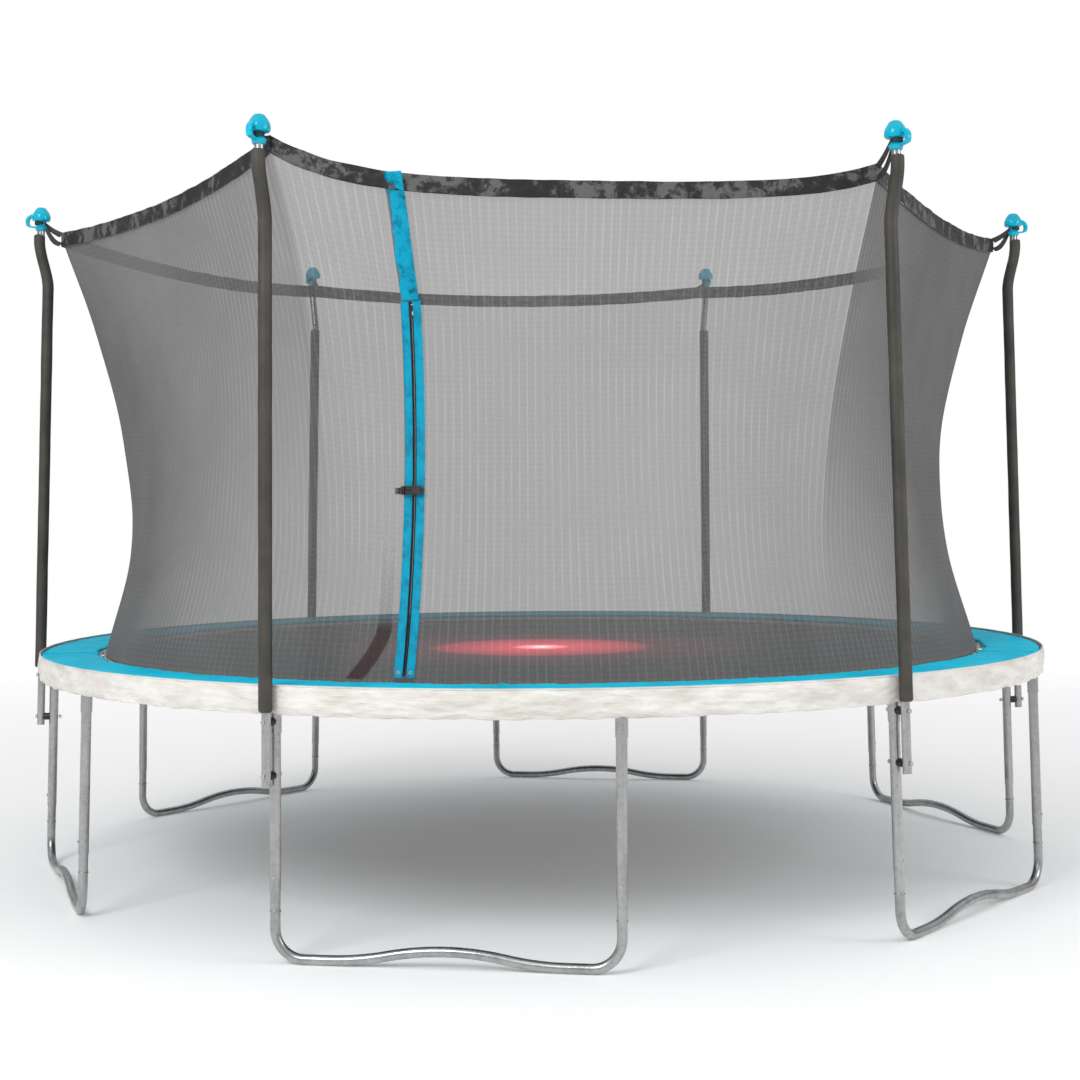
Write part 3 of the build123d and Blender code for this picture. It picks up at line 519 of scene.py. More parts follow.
def skirt_fabric():
    paint = Paint("skirt_fabric", roughness=0.42)
    crease = paint.noise(9.0, detail=7.0, vector=paint.stretch(paint.place, (1.0, 1.0, 3.6)))
    broad_shade = paint.noise(2.6)
    tone = paint.math("ADD", paint.math("MULTIPLY", crease, 0.65), paint.math("MULTIPLY", broad_shade, 0.35))
    # painted shade: the off-white cloth darkens in the hollows of its creases and in broad blotches
    paint.set("Base Color", paint.ramp(tone, [(0.34, (0.66, 0.63, 0.57)), (0.58, (0.86, 0.84, 0.80))]))
    paint.set("Roughness", paint.ramp(crease, [(0.3, 0.32), (0.7, 0.55)]))
    paint.bump(crease, 0.9, 0.02)
    weave = paint.math("MAXIMUM", paint.wave(150.0, axis="Z"), paint.wave(150.0, axis="DIAGONAL"))
    paint.bump(weave, 0.12, 0.0006)
    return paint.material


def mat_weave():
    """Black woven polypropylene, with the red lamp's glow through its middle painted on as emission."""
    paint = Paint("mat_weave", roughness=0.55)
    cloud = paint.noise(2.2, detail=5.0)
    rows = paint.wave(38.0, axis="X", distortion=0.4)
    cross = paint.wave(38.0, axis="Y", distortion=0.4)
    tone = paint.math("MULTIPLY", paint.math("ADD", rows, cross), 0.5)
    base = paint.ramp(tone, [(0.1, (0.018, 0.009, 0.006)), (0.9, (0.056, 0.029, 0.021))])
    scuff = paint.ramp(cloud, [(0.4, (0.0, 0.0, 0.0)), (0.75, (0.030, 0.019, 0.015))])
    paint.set("Base Color", paint.mix(1.0, base, scuff, "ADD"))
    paint.bump(rows, 0.3, 0.0012)
    paint.bump(cross, 0.3, 0.0012)
    gap = paint.node("ShaderNodeVectorMath", operation="LENGTH")
    flat = paint.stretch(paint.place, (1.0, 1.0, 0.0))
    paint.link(flat, gap.inputs[0])
    # painted glow: the red lamp's light through the mat, bright at the centre and fading outward
    painted_glow = paint.ramp(paint.math("DIVIDE", gap.outputs["Value"], 1.0), [
        (0.0, (1.0, 0.72, 0.70)),
        (0.05, (0.95, 0.26, 0.28)),
        (0.13, (0.34, 0.030, 0.042)),
        (0.44, (0.15, 0.010, 0.020)),
        (0.50, (0.030, 0.002, 0.005)),
        (1.0, (0.0, 0.0, 0.0)),
    ])
    # the painted glow is emitted from the mat's top faces only
    facing_up = paint.node("ShaderNodeSeparateXYZ")
    paint.link(paint.node("ShaderNodeNewGeometry").outputs["True Normal"], facing_up.inputs[0])
    top_only = paint.math("MAXIMUM", facing_up.outputs["Z"], 0.0)
    paint.set("Emission Color", painted_glow)
    paint.set("Emission Strength", paint.math("MULTIPLY", top_only, 5.0))
    return paint.material


def net_mesh():
    """See-through knitted net: denser at a grazing view, with paler upright threads."""
    paint = Paint("net_mesh", roughness=0.85)
    uv = paint.uv()
    upright = paint.wave(1.0, vector=paint.stretch(uv, (10.6, 0.0, 0.0)))
    fine = paint.wave(1.0, vector=paint.stretch(uv, (23.0, 0.0, 0.0)))
    level = paint.wave(1.0, vector=paint.stretch(uv, (0.0, 16.0, 0.0)), axis="Y")
    worn = paint.ramp(paint.noise(6.0, detail=5.0), [(0.35, 0.25), (0.65, 1.0)])
    thread = paint.math("MULTIPLY", paint.math("POWER", upright, 9.0), worn)
    knit = paint.math("ADD", paint.math("MULTIPLY", fine, 0.5), paint.math("MULTIPLY", level, 0.5))
    shade = paint.noise(0.9, detail=3.0)
    fabric = paint.ramp(shade, [(0.3, (0.110, 0.107, 0.106)), (0.7, (0.154, 0.151, 0.150))])
    fabric = paint.mix(paint.math("MULTIPLY", knit, 0.12), fabric, (0.30, 0.30, 0.30))
    paint.set("Base Color", paint.mix(paint.math("MULTIPLY", thread, 0.16), fabric, (0.60, 0.60, 0.60)))
    paint.set("Specular IOR Level", 0.1)
    facing = paint.node("ShaderNodeLayerWeight")
    facing.inputs["Blend"].default_value = 0.5
    edge = paint.math("POWER", facing.outputs["Facing"], 1.6)
    cover = paint.math("ADD", 0.65, paint.math("MULTIPLY", edge, 0.55))
    cover = paint.math("ADD", cover, paint.math("MULTIPLY", knit, 0.05))
    cover = paint.math("SUBTRACT", cover, paint.math("MULTIPLY", thread, 0.04))
    inside = paint.node("ShaderNodeNewGeometry").outputs["Backfacing"]
    thinner = paint.math("SUBTRACT", 1.0, paint.math("MULTIPLY", inside, 0.78))
    paint.set("Alpha", paint.math("MULTIPLY", cover, thinner, clamp=True))
    return paint.material


def overlap_net():
    """Doubled net: dense over the dark mat, thinning out upward; its red tint is painted glow from the red
    lamp.
    """
    paint = Paint("overlap_net", roughness=0.9)
    grain = paint.noise(220.0)
    # dark red: the doubled net over the dark mat, with painted red glow from the lamp
    dark, light = (0.030, 0.012, 0.012), (0.060, 0.022, 0.024)
    paint.set("Base Color", paint.ramp(grain, [(0.3, dark), (0.75, light)]))
    height = paint.node("ShaderNodeSeparateXYZ")
    paint.link(paint.uv(), height.inputs[0])
    thinning = [(0.0, 0.62), (0.34, 0.62), (0.42, 0.16), (1.0, 0.0)]
    paint.set("Alpha", paint.ramp(height.outputs["Y"], thinning))
    paint.bump(grain, 0.1, 0.0005)
    return paint.material


def band_fabric():
    paint = Paint("band_fabric", roughness=0.6)
    blot = paint.noise(20.0, detail=7.0, rough=0.7)
    glint_patch = paint.noise(4.5, detail=3.0)
    tone = paint.math("ADD", paint.math("MULTIPLY", blot, 0.6), paint.math("MULTIPLY", glint_patch, 0.4))
    # painted highlights: where the crumpled band's tone is high it turns from near black to grey, as glints
    # of light
    paint.set("Base Color", paint.ramp(tone, [(0.46, 0.004), (0.51, 0.014), (0.555, 0.10)]))
    paint.bump(blot, 0.6, 0.006)
    return paint.material


def webbing():
    paint = Paint("black_webbing", roughness=0.6)
    rib = paint.wave(120.0, axis="Z")
    paint.set("Base Color", paint.ramp(rib, [(0.2, 0.012), (0.9, 0.04)]))
    paint.bump(rib, 0.4, 0.0008)
    paint.bump(paint.wave(160.0, axis="DIAGONAL"), 0.2, 0.0006)
    return paint.material


def cord():
    paint = Paint("cord", roughness=0.7)
    twist = paint.wave(220.0, axis="DIAGONAL")
    paint.set("Base Color", paint.ramp(twist, [(0.2, (0.50, 0.34, 0.22)), (0.9, (0.72, 0.55, 0.40))]))
    paint.bump(twist, 0.4, 0.0008)
    return paint.material


def simple_paint(name, dark, light, roughness, metallic=0.0, scale=60.0, glow=None):
    paint = Paint(name, roughness=roughness, metallic=metallic)
    grain = paint.noise(scale)
    paint.set("Base Color", paint.ramp(grain, [(0.3, dark), (0.75, light)]))
    paint.bump(grain, 0.1, 0.0005)
    if glow:
        paint.set("Emission Color", glow)
        paint.set("Emission Strength", 1.0)
    return paint.material


STEEL = galvanised_steel()
ZINC = zinc()
FOAM = sleeve_foam()
CAP = cap_plastic()
PLASTIC = black_plastic()
# the blue cloths' dark colours are painted shade in their creases
BLUE = woven_cloth("blue_cloth", (0.0, 0.10, 0.17), (0.001, 0.36, 0.56), crumple=0.9)
BLUE_STRIP = woven_cloth("blue_strip", (0.0, 0.20, 0.32), (0.001, 0.34, 0.53), crumple=0.5)
VINYL = pad_vinyl()
SKIRT = skirt_fabric()
WEAVE = mat_weave()
NET = net_mesh()
BAND = band_fabric()
OVERLAP = overlap_net()
WEBBING = webbing()
CORD = cord()
THREAD = simple_paint("stitch_thread", (0.02, 0.30, 0.46), (0.10, 0.55, 0.75), 0.6, scale=300.0)
PALE_THREAD = simple_paint("pale_thread", (0.55, 0.55, 0.52), (0.8, 0.8, 0.76), 0.6, scale=300.0)
LENS = simple_paint("red_lens", (0.5, 0.01, 0.02), (0.8, 0.03, 0.04), 0.15, glow=(0.9, 0.04, 0.05))
BOARD = simple_paint("circuit_board", (0.004, 0.07, 0.02), (0.01, 0.16, 0.05), 0.4)
CELL = simple_paint("battery_skin", (0.10, 0.10, 0.11), (0.32, 0.32, 0.33), 0.3, metallic=0.7)

CAD_FINISHES = {
    STEEL: ("top_rails", "leg_tubes", "pole_lower_tubes"),
    ZINC: ("leg_screws", "pole_bolts", "pole_nuts"),
    PLASTIC: ("pole_spacers", "buckle_socket", "buckle_plug", "zip_slider", "zip_pull",
              "light_housing", "light_battery_cover", "light_button"),
    WEBBING: ("buckle_strap_right", "light_straps"),
    CORD: ("net_hem_cord", "door_tie_left", "door_tie_right"),
    LENS: ("light_lens",),
    BOARD: ("light_board",),
    CELL: ("light_batteries",),
}


def paint_node(node, material):
    """Give a carried-over CAD node one material."""
    mesh = NODES[node].data
    mesh.materials.clear()
    mesh.materials.append(material)


for finish, nodes in CAD_FINISHES.items():
    for node in nodes:
        paint_node(node, finish)
for number in range(1, SECTORS + 1):
    paint_node(f"leg_base_{number}", STEEL)
    paint_node(f"pole_upper_{number}", STEEL)
    paint_node(f"pole_cap_{number}", CAP)


# ---- poles: the same leaning axis as the frame's tubes ----
class PoleAxis:
    """Centre line of one enclosure pole."""

    def __init__(self, number):
        turn = 360 / SECTORS * number
        angle = FIRST_POLE + turn
        leg = outward(angle + LEG_SPAN / 2)
        self.angle = angle
        self.up = (UP * cos(LEG_SPLAY) - leg * sin(LEG_SPLAY)).normalized()
        self.side = outward(angle).cross(self.up).normalized()
        self.out = self.up.cross(self.side).normalized()
        self.origin = outward(angle) * (RAIL_R + POLE_OFFSET) + UP * RAIL_Z

    def point(self, height, out=0.0, side=0.0):
        """Point at a height, moved with the S-bend and then outward and sideways."""
        bend = smooth((height - BEND_LOW_Z + 0.02) / (BEND_HIGH_Z - BEND_LOW_Z + 0.04)) * POLE_OUT
        return self.origin + self.up * (height - RAIL_Z) + self.out * (out + bend) + self.side * side


POLES = [PoleAxis(k) for k in range(SECTORS)]


def foam_sleeves():
    """Foam tubes pushed over the poles, a little lumpy, with a rolled end at each mouth."""
    for k, pole in enumerate(POLES):
        top = REAR_SLEEVE_TOP_Z if k in REAR_POLES else SLEEVE_TOP_Z
        shape = Shape()

        def skin(u, v, pole=pole, top=top, k=k):
            height = SLEEVE_BOTTOM_Z + (top - SLEEVE_BOTTOM_Z) * v
            turn = 2 * pi * u
            edge = min(height - SLEEVE_BOTTOM_Z, top - height)
            round_off = sqrt(max(0.0, 1 - (1 - min(1.0, edge / 0.008)) ** 2))
            lump = 0.0009 * wobble((cos(turn), sin(turn), height * 9), 1.0, k)
            lump += 0.0006 * wobble((0, 0, height), 5.0, k)
            r = SLEEVE_R - SLEEVE_ROUNDING * (1 - round_off) + lump
            return pole.point(height, r * cos(turn), r * sin(turn))

        shape.grid(skin, 28, 420, uv=(0.15, top - SLEEVE_BOTTOM_Z), closed=True)
        for end, flip in ((0.0, True), (1.0, False)):
            height = SLEEVE_BOTTOM_Z + (top - SLEEVE_BOTTOM_Z) * end

            def mouth(u, v, pole=pole, height=height):
                turn = 2 * pi * u
                r = (SLEEVE_R - SLEEVE_ROUNDING) * (1 - v) + SLEEVE_BORE_R * v
                return pole.point(height, r * cos(turn), r * sin(turn))

            shape.grid(mouth, 28, 2, closed=True, flip=flip)
        piece = shape.build(f"foam_sleeve_{k + 1}", [FOAM])
        on_frame(piece, "sleeve_foam", "pole_sleeves")


def pole_caps():
    """The frame's caps with a shorter skirt, so that a little bare tube shows below them."""
    for k, pole in enumerate(POLES):
        node = NODES[f"pole_cap_{k + 1}"]
        mesh = node.data.copy()
        mesh.transform(node.matrix_world)
        middle = pole.point(CAP_MIDDLE_Z)
        for vertex in mesh.vertices:
            height = (vertex.co - middle).dot(pole.up)
            if height < 0:
                vertex.co -= pole.up * height * CAP_SKIRT_CUT
        piece = bpy.data.objects.new(f"cap_{k + 1}", mesh)
        bpy.context.scene.collection.objects.link(piece)
        on_frame(piece, "cap_plastic", f"pole_cap_{k + 1}")


def cap_straps():
    """Webbing looped round each cap's neck and sewn to the corner of the net's band."""
    for k, pole in enumerate(POLES):
        shape = Shape()
        neck = pole.point(CAP_NECK_Z)

        def loop(u, v, neck=neck, pole=pole):
            turn = 2 * pi * u
            across = 2 * pi * v
            r = 0.0200 + 0.0012 * cos(across)
            return neck + (pole.out * cos(turn) + pole.side * sin(turn)) * r + pole.up * 0.006 * sin(across)

        shape.grid(loop, 40, 8, closed=True)
        corner = polar(pole.angle, BAND_CORNERS[k][0] + 0.004, BAND_CORNERS[k][1])
        for low in (-1, 1):
            start = neck - pole.out * 0.019 + pole.side * 0.007 * low
            finish = corner + UP * 0.020 * low
            broad = (finish - start).cross(pole.side).normalized()

            def strap(u, v, start=start, finish=finish, broad=broad, low=low):
                p = start.lerp(finish, u)
                p = p - UP * 0.010 * sin(pi * u) * (1.5 - low)
                return p + broad * 0.016 * (v - 0.5) * (1 + 0.6 * u)

            shape.grid(strap, 14, 3)
        piece = shape.build(f"net_strap_{k + 1}", [WEBBING], thickness=0.0016)
        on_frame(piece, "black_webbing", "net_straps")


# ---- door: the flap's fold line, read from the frame ----
fold_joint = next(j for j in frame["joints"] if j["name"] == "door_fold")
FOLD_POINT = Vector(fold_joint["pos_m"])
FOLD_DIR = Vector(fold_joint["axis"]).normalized()
FLAP_SIDE = outward((ZIP_ANGLE - 76.1) / 2).cross(FOLD_DIR).normalized()


def bend_with_door(piece, finish, *replaced):
    """Bake a piece's placement into its mesh; it stands in for the CAD nodes named last."""
    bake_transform(piece)
    if replaced:
        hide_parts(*replaced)


def door_point(offset, z, lift=0.0):
    """Point beside the zip: offset to the right along the net, lift outward."""
    base = polar(ZIP_ANGLE, zip_radius(z) + lift, z)
    return base + outward(ZIP_ANGLE + 90) * offset


def net_height_share(angle, z):
    """Share s for net_point that gives this height."""
    top = band_z(angle) - BAND_HALF + 0.006
    return (z - HEM_Z) / (top - HEM_Z)


def enclosure_net():
    """The net as one smooth sheet, split at the zip into a fixed side and a flap side."""
    zip_edge = degrees(0.034 / 1.78)
    left_start, right_start = ZIP_ANGLE - zip_edge, ZIP_ANGLE + zip_edge
    corner = -60.0

    def rippled(angle, s):
        p = net_point(angle, s)
        return p + outward(angle) * 0.0022 * wobble(p, 3.0, 2.0) * smooth(s * 6) * smooth((1 - s) * 6)

    def fixed(u, v):
        angle = corner + (left_start + 360 - corner) * u
        return rippled(angle if angle < 180 else angle - 360, v)

    shape = Shape()
    shape.grid(fixed, 600, 90, uv=(10.0, 1.72))
    on_frame(shape.build("net_panels", [NET]), "net_mesh", "enclosure_net")

    def flap(u, v):
        return rippled(right_start + (corner - right_start) * u, v)

    shape = Shape()
    shape.grid(flap, 110, 90, uv=(1.5, 1.72))
    bend_with_door(shape.build("net_door_side", [NET]), "net_mesh", "door_flap_net")

    def over_door(u, v):
        angle = left_start + (right_start - left_start) * u
        z = HEADER_BOTTOM_Z - 0.004 + (band_z(angle) - BAND_HALF + 0.006 - HEADER_BOTTOM_Z) * v
        return net_point(angle, net_height_share(angle, z))

    shape = Shape()
    shape.grid(over_door, 6, 20, uv=(0.13, 0.4))
    on_frame(shape.build("net_over_door", [NET]), "net_mesh")


def top_band():
    """Crumpled dark band hemmed round the net's top edge."""
    def cloth(u, v):
        angle = -90.0 + 360.0 * u
        across = (v - 0.5) * 2
        p = polar(angle, band_radius(angle) + 0.003, band_z(angle) + BAND_HALF * across)
        crumple = 0.0035 * wobble(p, 16.0, 5.0) + 0.002 * wobble(p, 42.0, 9.0)
        edge = 0.0022 * wobble(p, 11.0, 1.0) * across
        return p + outward(angle) * crumple + UP * edge

    shape = Shape()
    shape.grid(cloth, 1200, 10, uv=(12.0, 0.06), closed=True)
    on_frame(shape.build("top_band", [BAND], thickness=0.0028), "black_webbing", "net_top_band")


def door_strip(name, x_from, x_to, z_from, z_to):
    """A sewn strip of blue cloth beside the zip."""
    rows = int((z_to - z_from) / 0.006)
    lift, crumple = 0.0030, 0.0012

    def cloth(u, v):
        z = z_from + (z_to - z_from) * v
        x = x_from + (x_to - x_from) * u
        p = door_point(x, z, lift)
        pucker = crumple * (wobble(p, 30.0, 3.0) + 0.5 * wobble(p, 70.0, 4.0))
        side = 0.35 * crumple * wobble(p, 20.0, 7.0)
        return door_point(x + side, z, lift + pucker)

    shape = Shape()
    shape.grid(cloth, 8, rows, uv=(abs(x_to - x_from), z_to - z_from))
    return shape.build(name, [BLUE_STRIP], thickness=0.0014)


def stitch_rows(name, columns, z_to):
    """Short thread stitches in upright rows beside the zip."""
    shape = Shape()
    step, length, lift = 0.0105, 0.0062, 0.0042
    for x in columns:
        for k in range(int((z_to - ZIP_FOOT_Z) / step)):
            z = ZIP_FOOT_Z + step * k
            shape.tube([door_point(x, z, lift), door_point(x, z + length / 2, lift + 0.0007),
                        door_point(x, z + length, lift)], 0.0006, sides=4)
    return shape.build(name, [THREAD])


def door_edges():
    """Blue header over the zip and a blue trim down each side of it."""
    def header(u, v):
        top = band_z(ZIP_ANGLE) + BAND_HALF - 0.002
        z = HEADER_BOTTOM_Z + (top - HEADER_BOTTOM_Z) * v
        x = HEADER_HALF * (2 * u - 1)
        over = smooth((z - band_z(ZIP_ANGLE) + BAND_HALF + 0.02) / 0.03)
        r = door_radius(z) + 0.0075 + 0.004 * over
        p = polar(ZIP_ANGLE, r, z)
        aside = UP.cross(p) * x
        crease = 0.0030 * wobble(p + aside, 14.0, 3.0) + 0.0022 * wobble(p + aside * 2, 34.0, 8.0)
        return polar(ZIP_ANGLE, r + crease, z) + outward(ZIP_ANGLE + 90) * (x + 0.0012 * wobble(p, 9.0))

    shape = Shape()
    shape.grid(header, 14, 90, uv=(2 * HEADER_HALF, 0.4))
    piece = shape.build("door_header_cloth", [BLUE], thickness=0.0016)
    on_frame(piece, "blue_fabric", "door_header")

    trim_out, foot = TRIM_IN + TRIM_WIDTH, ZIP_FOOT_Z - 0.004
    left = door_strip("door_trim_left_cloth", -trim_out, -TRIM_IN, foot, HEADER_BOTTOM_Z + 0.012)
    on_frame(left, "blue_fabric", "door_trim_left")
    right = door_strip("door_trim_right_cloth", TRIM_IN, trim_out, foot, HEADER_BOTTOM_Z + 0.004)
    bend_with_door(right, "blue_fabric", "door_trim_right")
    columns = (TRIM_IN + 0.003, trim_out - 0.003)
    left = stitch_rows("trim_stitches_left", [-x for x in columns], HEADER_BOTTOM_Z)
    on_frame(left, "blue_fabric")
    right = stitch_rows("trim_stitches_right", columns, HEADER_BOTTOM_Z - 0.01)
    bend_with_door(right, "blue_fabric")


def buckle_strap():
    """Webbing from the net beside the zip up to the buckle's socket."""
    shape = Shape()

    def strap(u, v):
        lift = 0.0045 + 0.0115 * smooth((u - 0.35) / 0.5)
        return door_point(-0.070 + 0.028 * u, BUCKLE_Z - 0.011 + 0.022 * v, lift)

    shape.grid(strap, 14, 4, uv=(0.03, 0.02))
    piece = shape.build("buckle_strap_left_webbing", [WEBBING], thickness=0.0014)
    on_frame(piece, "black_webbing", "buckle_strap_left")


def door_overlap():
    """Second layer of net hanging beside the zip's foot, where the two sides of the doorway overlap, tinted
    with painted red glow.
    """
    foot, bend, top = 0.935, 1.120, 1.420

    def layer(u, v):
        z = foot + (top - foot) * v
        sweep = max(0.0, (bend - z) / (bend - foot))
        x = -0.084 - 0.102 * sweep**1.6 + (0.052 + 0.014 * sweep) * (u - 0.5)
        angle = ZIP_ANGLE + degrees(x / zip_radius(z))
        return net_point(angle, net_height_share(angle, z), 0.005 + 0.002 * wobble((x, z, 0), 30.0))

    shape = Shape()
    shape.grid(layer, 8, 60)
    on_frame(shape.build("door_overlap_net", [OVERLAP]), "net_mesh")


def zip_coil(side):
    """Half of the zip: a wound coil on its woven tape."""
    shape = Shape()
    pitch, points_per_turn = 0.0034, 7
    z_from, z_to = ZIP_FOOT_Z + 0.008, ZIP_TOP_Z if side > 0 else HEADER_BOTTOM_Z
    turns = int((z_to - z_from) / pitch)
    path = []
    for k in range(turns * points_per_turn):
        turn = 2 * pi * k / points_per_turn
        z = z_from + pitch * k / points_per_turn
        path.append(door_point(side * (0.0030 + 0.0024 * cos(turn)), z, 0.0013 * sin(turn)))
    shape.tube(path, 0.00055, sides=4)
    tape_from = z_from - 0.006

    def tape(u, v):
        return door_point(side * (0.0004 + 0.0131 * u), tape_from + (z_to - tape_from) * v, -0.0021)

    shape.grid(tape, 2, 200, uv=(0.01, 1.2), mat=1)
    if side > 0:
        piece = shape.build("zip_chain_right", [PLASTIC, WEBBING])
        bend_with_door(piece, "black_webbing", "zip_coil_right")
    else:
        piece = shape.build("zip_chain_left", [PLASTIC, WEBBING])
        on_frame(piece, "black_webbing", "zip_coil_left")


# ---- padded rim ----
def pad_profile(v):
    """Closed outline of the pad's cross-section, over the crown and back below: radius and height."""
    middle, half = (PAD_IN_R + PAD_OUT_R) / 2, (PAD_OUT_R - PAD_IN_R) / 2 - 0.002
    x = 1 - 4 * v if v < 0.5 else 4 * (v - 0.5) - 1
    corner = 0.06
    round_off = 1 - sqrt(max(0.0, 1 - max(0.0, (abs(x) - 1 + corner) / corner) ** 2))
    if v < 0.5:
        return middle + half * x, PAD_HIGH.z - 0.002 - 0.004 * abs(x) ** 3 - 0.008 * round_off
    return middle + half * x, PAD_LOW.z + 0.001 + 0.006 * round_off


def simulate_cover(piece, pinned, cap):
    """Inflate a sewn cover over its foam with cloth, then keep each point within a cap of its start."""
    rest = [v.co.copy() for v in piece.data.vertices]
    group = piece.vertex_groups.new(name="sewn")
    group.add([i for i in range(len(rest)) if pinned(rest[i])], 1.0, "REPLACE")
    cloth = piece.modifiers.new("cover", "CLOTH")
    cloth.settings.vertex_group_mass = "sewn"
    cloth.settings.quality = 4
    cloth.settings.mass = 0.4
    cloth.settings.tension_stiffness = cloth.settings.compression_stiffness = 9.0
    cloth.settings.shear_stiffness = 4.0
    cloth.settings.bending_stiffness = 0.15
    cloth.settings.shrink_min = -0.012
    cloth.settings.use_pressure = True
    cloth.settings.uniform_pressure_force = 4.0
    cloth.settings.effector_weights.gravity = 0.0
    cloth.collision_settings.use_collision = False
    scene = bpy.context.scene
    for step in range(1, 21):
        scene.frame_set(step)
    graph = bpy.context.evaluated_depsgraph_get()
    moved = piece.evaluated_get(graph).to_mesh()
    for vertex, start, end in zip(piece.data.vertices, rest, [v.co.copy() for v in moved.vertices]):
        shift = end - start
        vertex.co = start + shift * min(1.0, cap / max(shift.length, 1e-9))
    piece.evaluated_get(graph).to_mesh_clear()
    piece.modifiers.clear()
    piece.vertex_groups.clear()
    scene.frame_set(1)


def safety_pad():
    """Blue vinyl cover in sewn sections, puffed over foam and puckered at each seam."""
    span = 360 / PAD_SECTIONS
    seam_gap = 0.10
    columns, around = 230, 44
    for number in range(PAD_SECTIONS):
        start = PAD_SEAM_ANGLE + span * number

        def skin(u, v, start=start):
            angle = start + seam_gap + (span - 2 * seam_gap) * v
            r, z = pad_profile(u)
            inset = 1 - smooth(min(v, 1 - v) * columns / 7)
            middle_z = (PAD_LOW.z + PAD_HIGH.z) / 2
            z = middle_z + (z - middle_z) * (1 - 0.55 * inset)
            p = polar(angle, r, z)
            top = smooth((z - middle_z) / 0.006)
            inner = max(0.0, (PAD_IN_R + 0.09 - r) / 0.09)
            sway = wobble((angle * 0.17, 0, 0), 1.0) + 0.4 * wobble((angle * 0.6, 0, 0), 1.0)
            p = p + outward(angle) * inner * 0.016 * sway
            ridge = 0.0022 * wobble((angle * 0.9, r * 9, 0), 1.0, number)
            ridge += 0.0015 * wobble((angle * 2.7, r * 26, 1), 1.0, number)
            return p + UP * ridge * top

        shape = Shape()
        shape.grid(skin, around, columns, uv=(0.5, 2.5), closed=True)
        shape.add_face(list(range(around))[::-1])
        shape.add_face([columns * around + i for i in range(around)])
        piece = shape.build(f"pad_section_{number + 1}", [VINYL])
        ends = (outward(start), outward(start + span))

        def sewn(p, ends=ends):
            flat = Vector((p.x, p.y, 0)).normalized()
            near_seam = max(flat.dot(ends[0]), flat.dot(ends[1])) > cos(radians(0.22))
            return near_seam or p.z < PAD_LOW.z + 0.004

        simulate_cover(piece, sewn, 0.0045)
        on_frame(piece, "pad_vinyl", "pad_cover", "pad_foam")

        shape = Shape()
        welt = [polar(start, PAD_IN_R + 0.006 + (PAD_OUT_R - PAD_IN_R - 0.012) * k / 30,
                      PAD_HIGH.z - 0.008 + 0.0008 * sin(k * 1.9)) for k in range(31)]
        shape.tube(welt, 0.0030, sides=8)
        on_frame(shape.build(f"pad_welt_{number + 1}", [VINYL]), "pad_vinyl")


def pad_skirt():
    """Off-white skirt: turned over the pad's edge, hanging in folds to an elastic hem."""
    top_z, low_z = PAD_HIGH.z - 0.002, SKIRT_LOW.z
    outer = SKIRT_HIGH.x

    def cloth(u, v):
        angle = 360.0 * u - 99.0
        around = outward(angle) * 6.0
        drop = top_z - (top_z - low_z) * v
        fold = noise.noise(around * 3.0 + UP * 3.4 * v) + 0.7 * noise.noise(around * 8.0 + UP * 6.5 * v)
        depth = 0.0030 + 0.0075 * smooth(v * 1.6)
        tuck = 0.0052 * smooth(1 - v / 0.16) + 0.004 * smooth((v - 0.86) / 0.14)
        bulge = 0.0035 * sin(pi * min(1.0, v * 1.05))
        r = outer + 0.002 + bulge + depth * 0.55 * fold - tuck
        hem = 0.0045 * noise.noise(around * 7.0) * smooth(v * 1.4)
        gather = 0.0016 * noise.noise(around * 46.0 + UP * 5 * v) * smooth((v - 0.72) / 0.2)
        return polar(angle, r + gather, drop + hem * v)

    shape = Shape()
    shape.grid(cloth, 1800, 26, uv=(13.4, 0.1), closed=True)
    piece = shape.build("pad_skirt_cloth", [SKIRT], thickness=0.0015)
    on_frame(piece, "skirt_fabric", "pad_skirt", "skirt_elastic")

    shape = Shape()
    seam = [polar(k / 2, outer + 0.0005, top_z - 0.0035) for k in range(720)]
    shape.tube(seam, 0.0022, sides=6, closed=True)
    on_frame(shape.build("skirt_piping", [SKIRT]), "skirt_fabric")


# ---- jumping bed: wedges round the centre ----
def bend_with_bed(piece, angle, finish, *replaced):
    """Bake a piece's placement into its mesh and hide the CAD nodes named last."""
    polar(angle, RAIL_HOLE_R, MAT_Z)
    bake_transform(piece)
    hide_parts(*replaced)


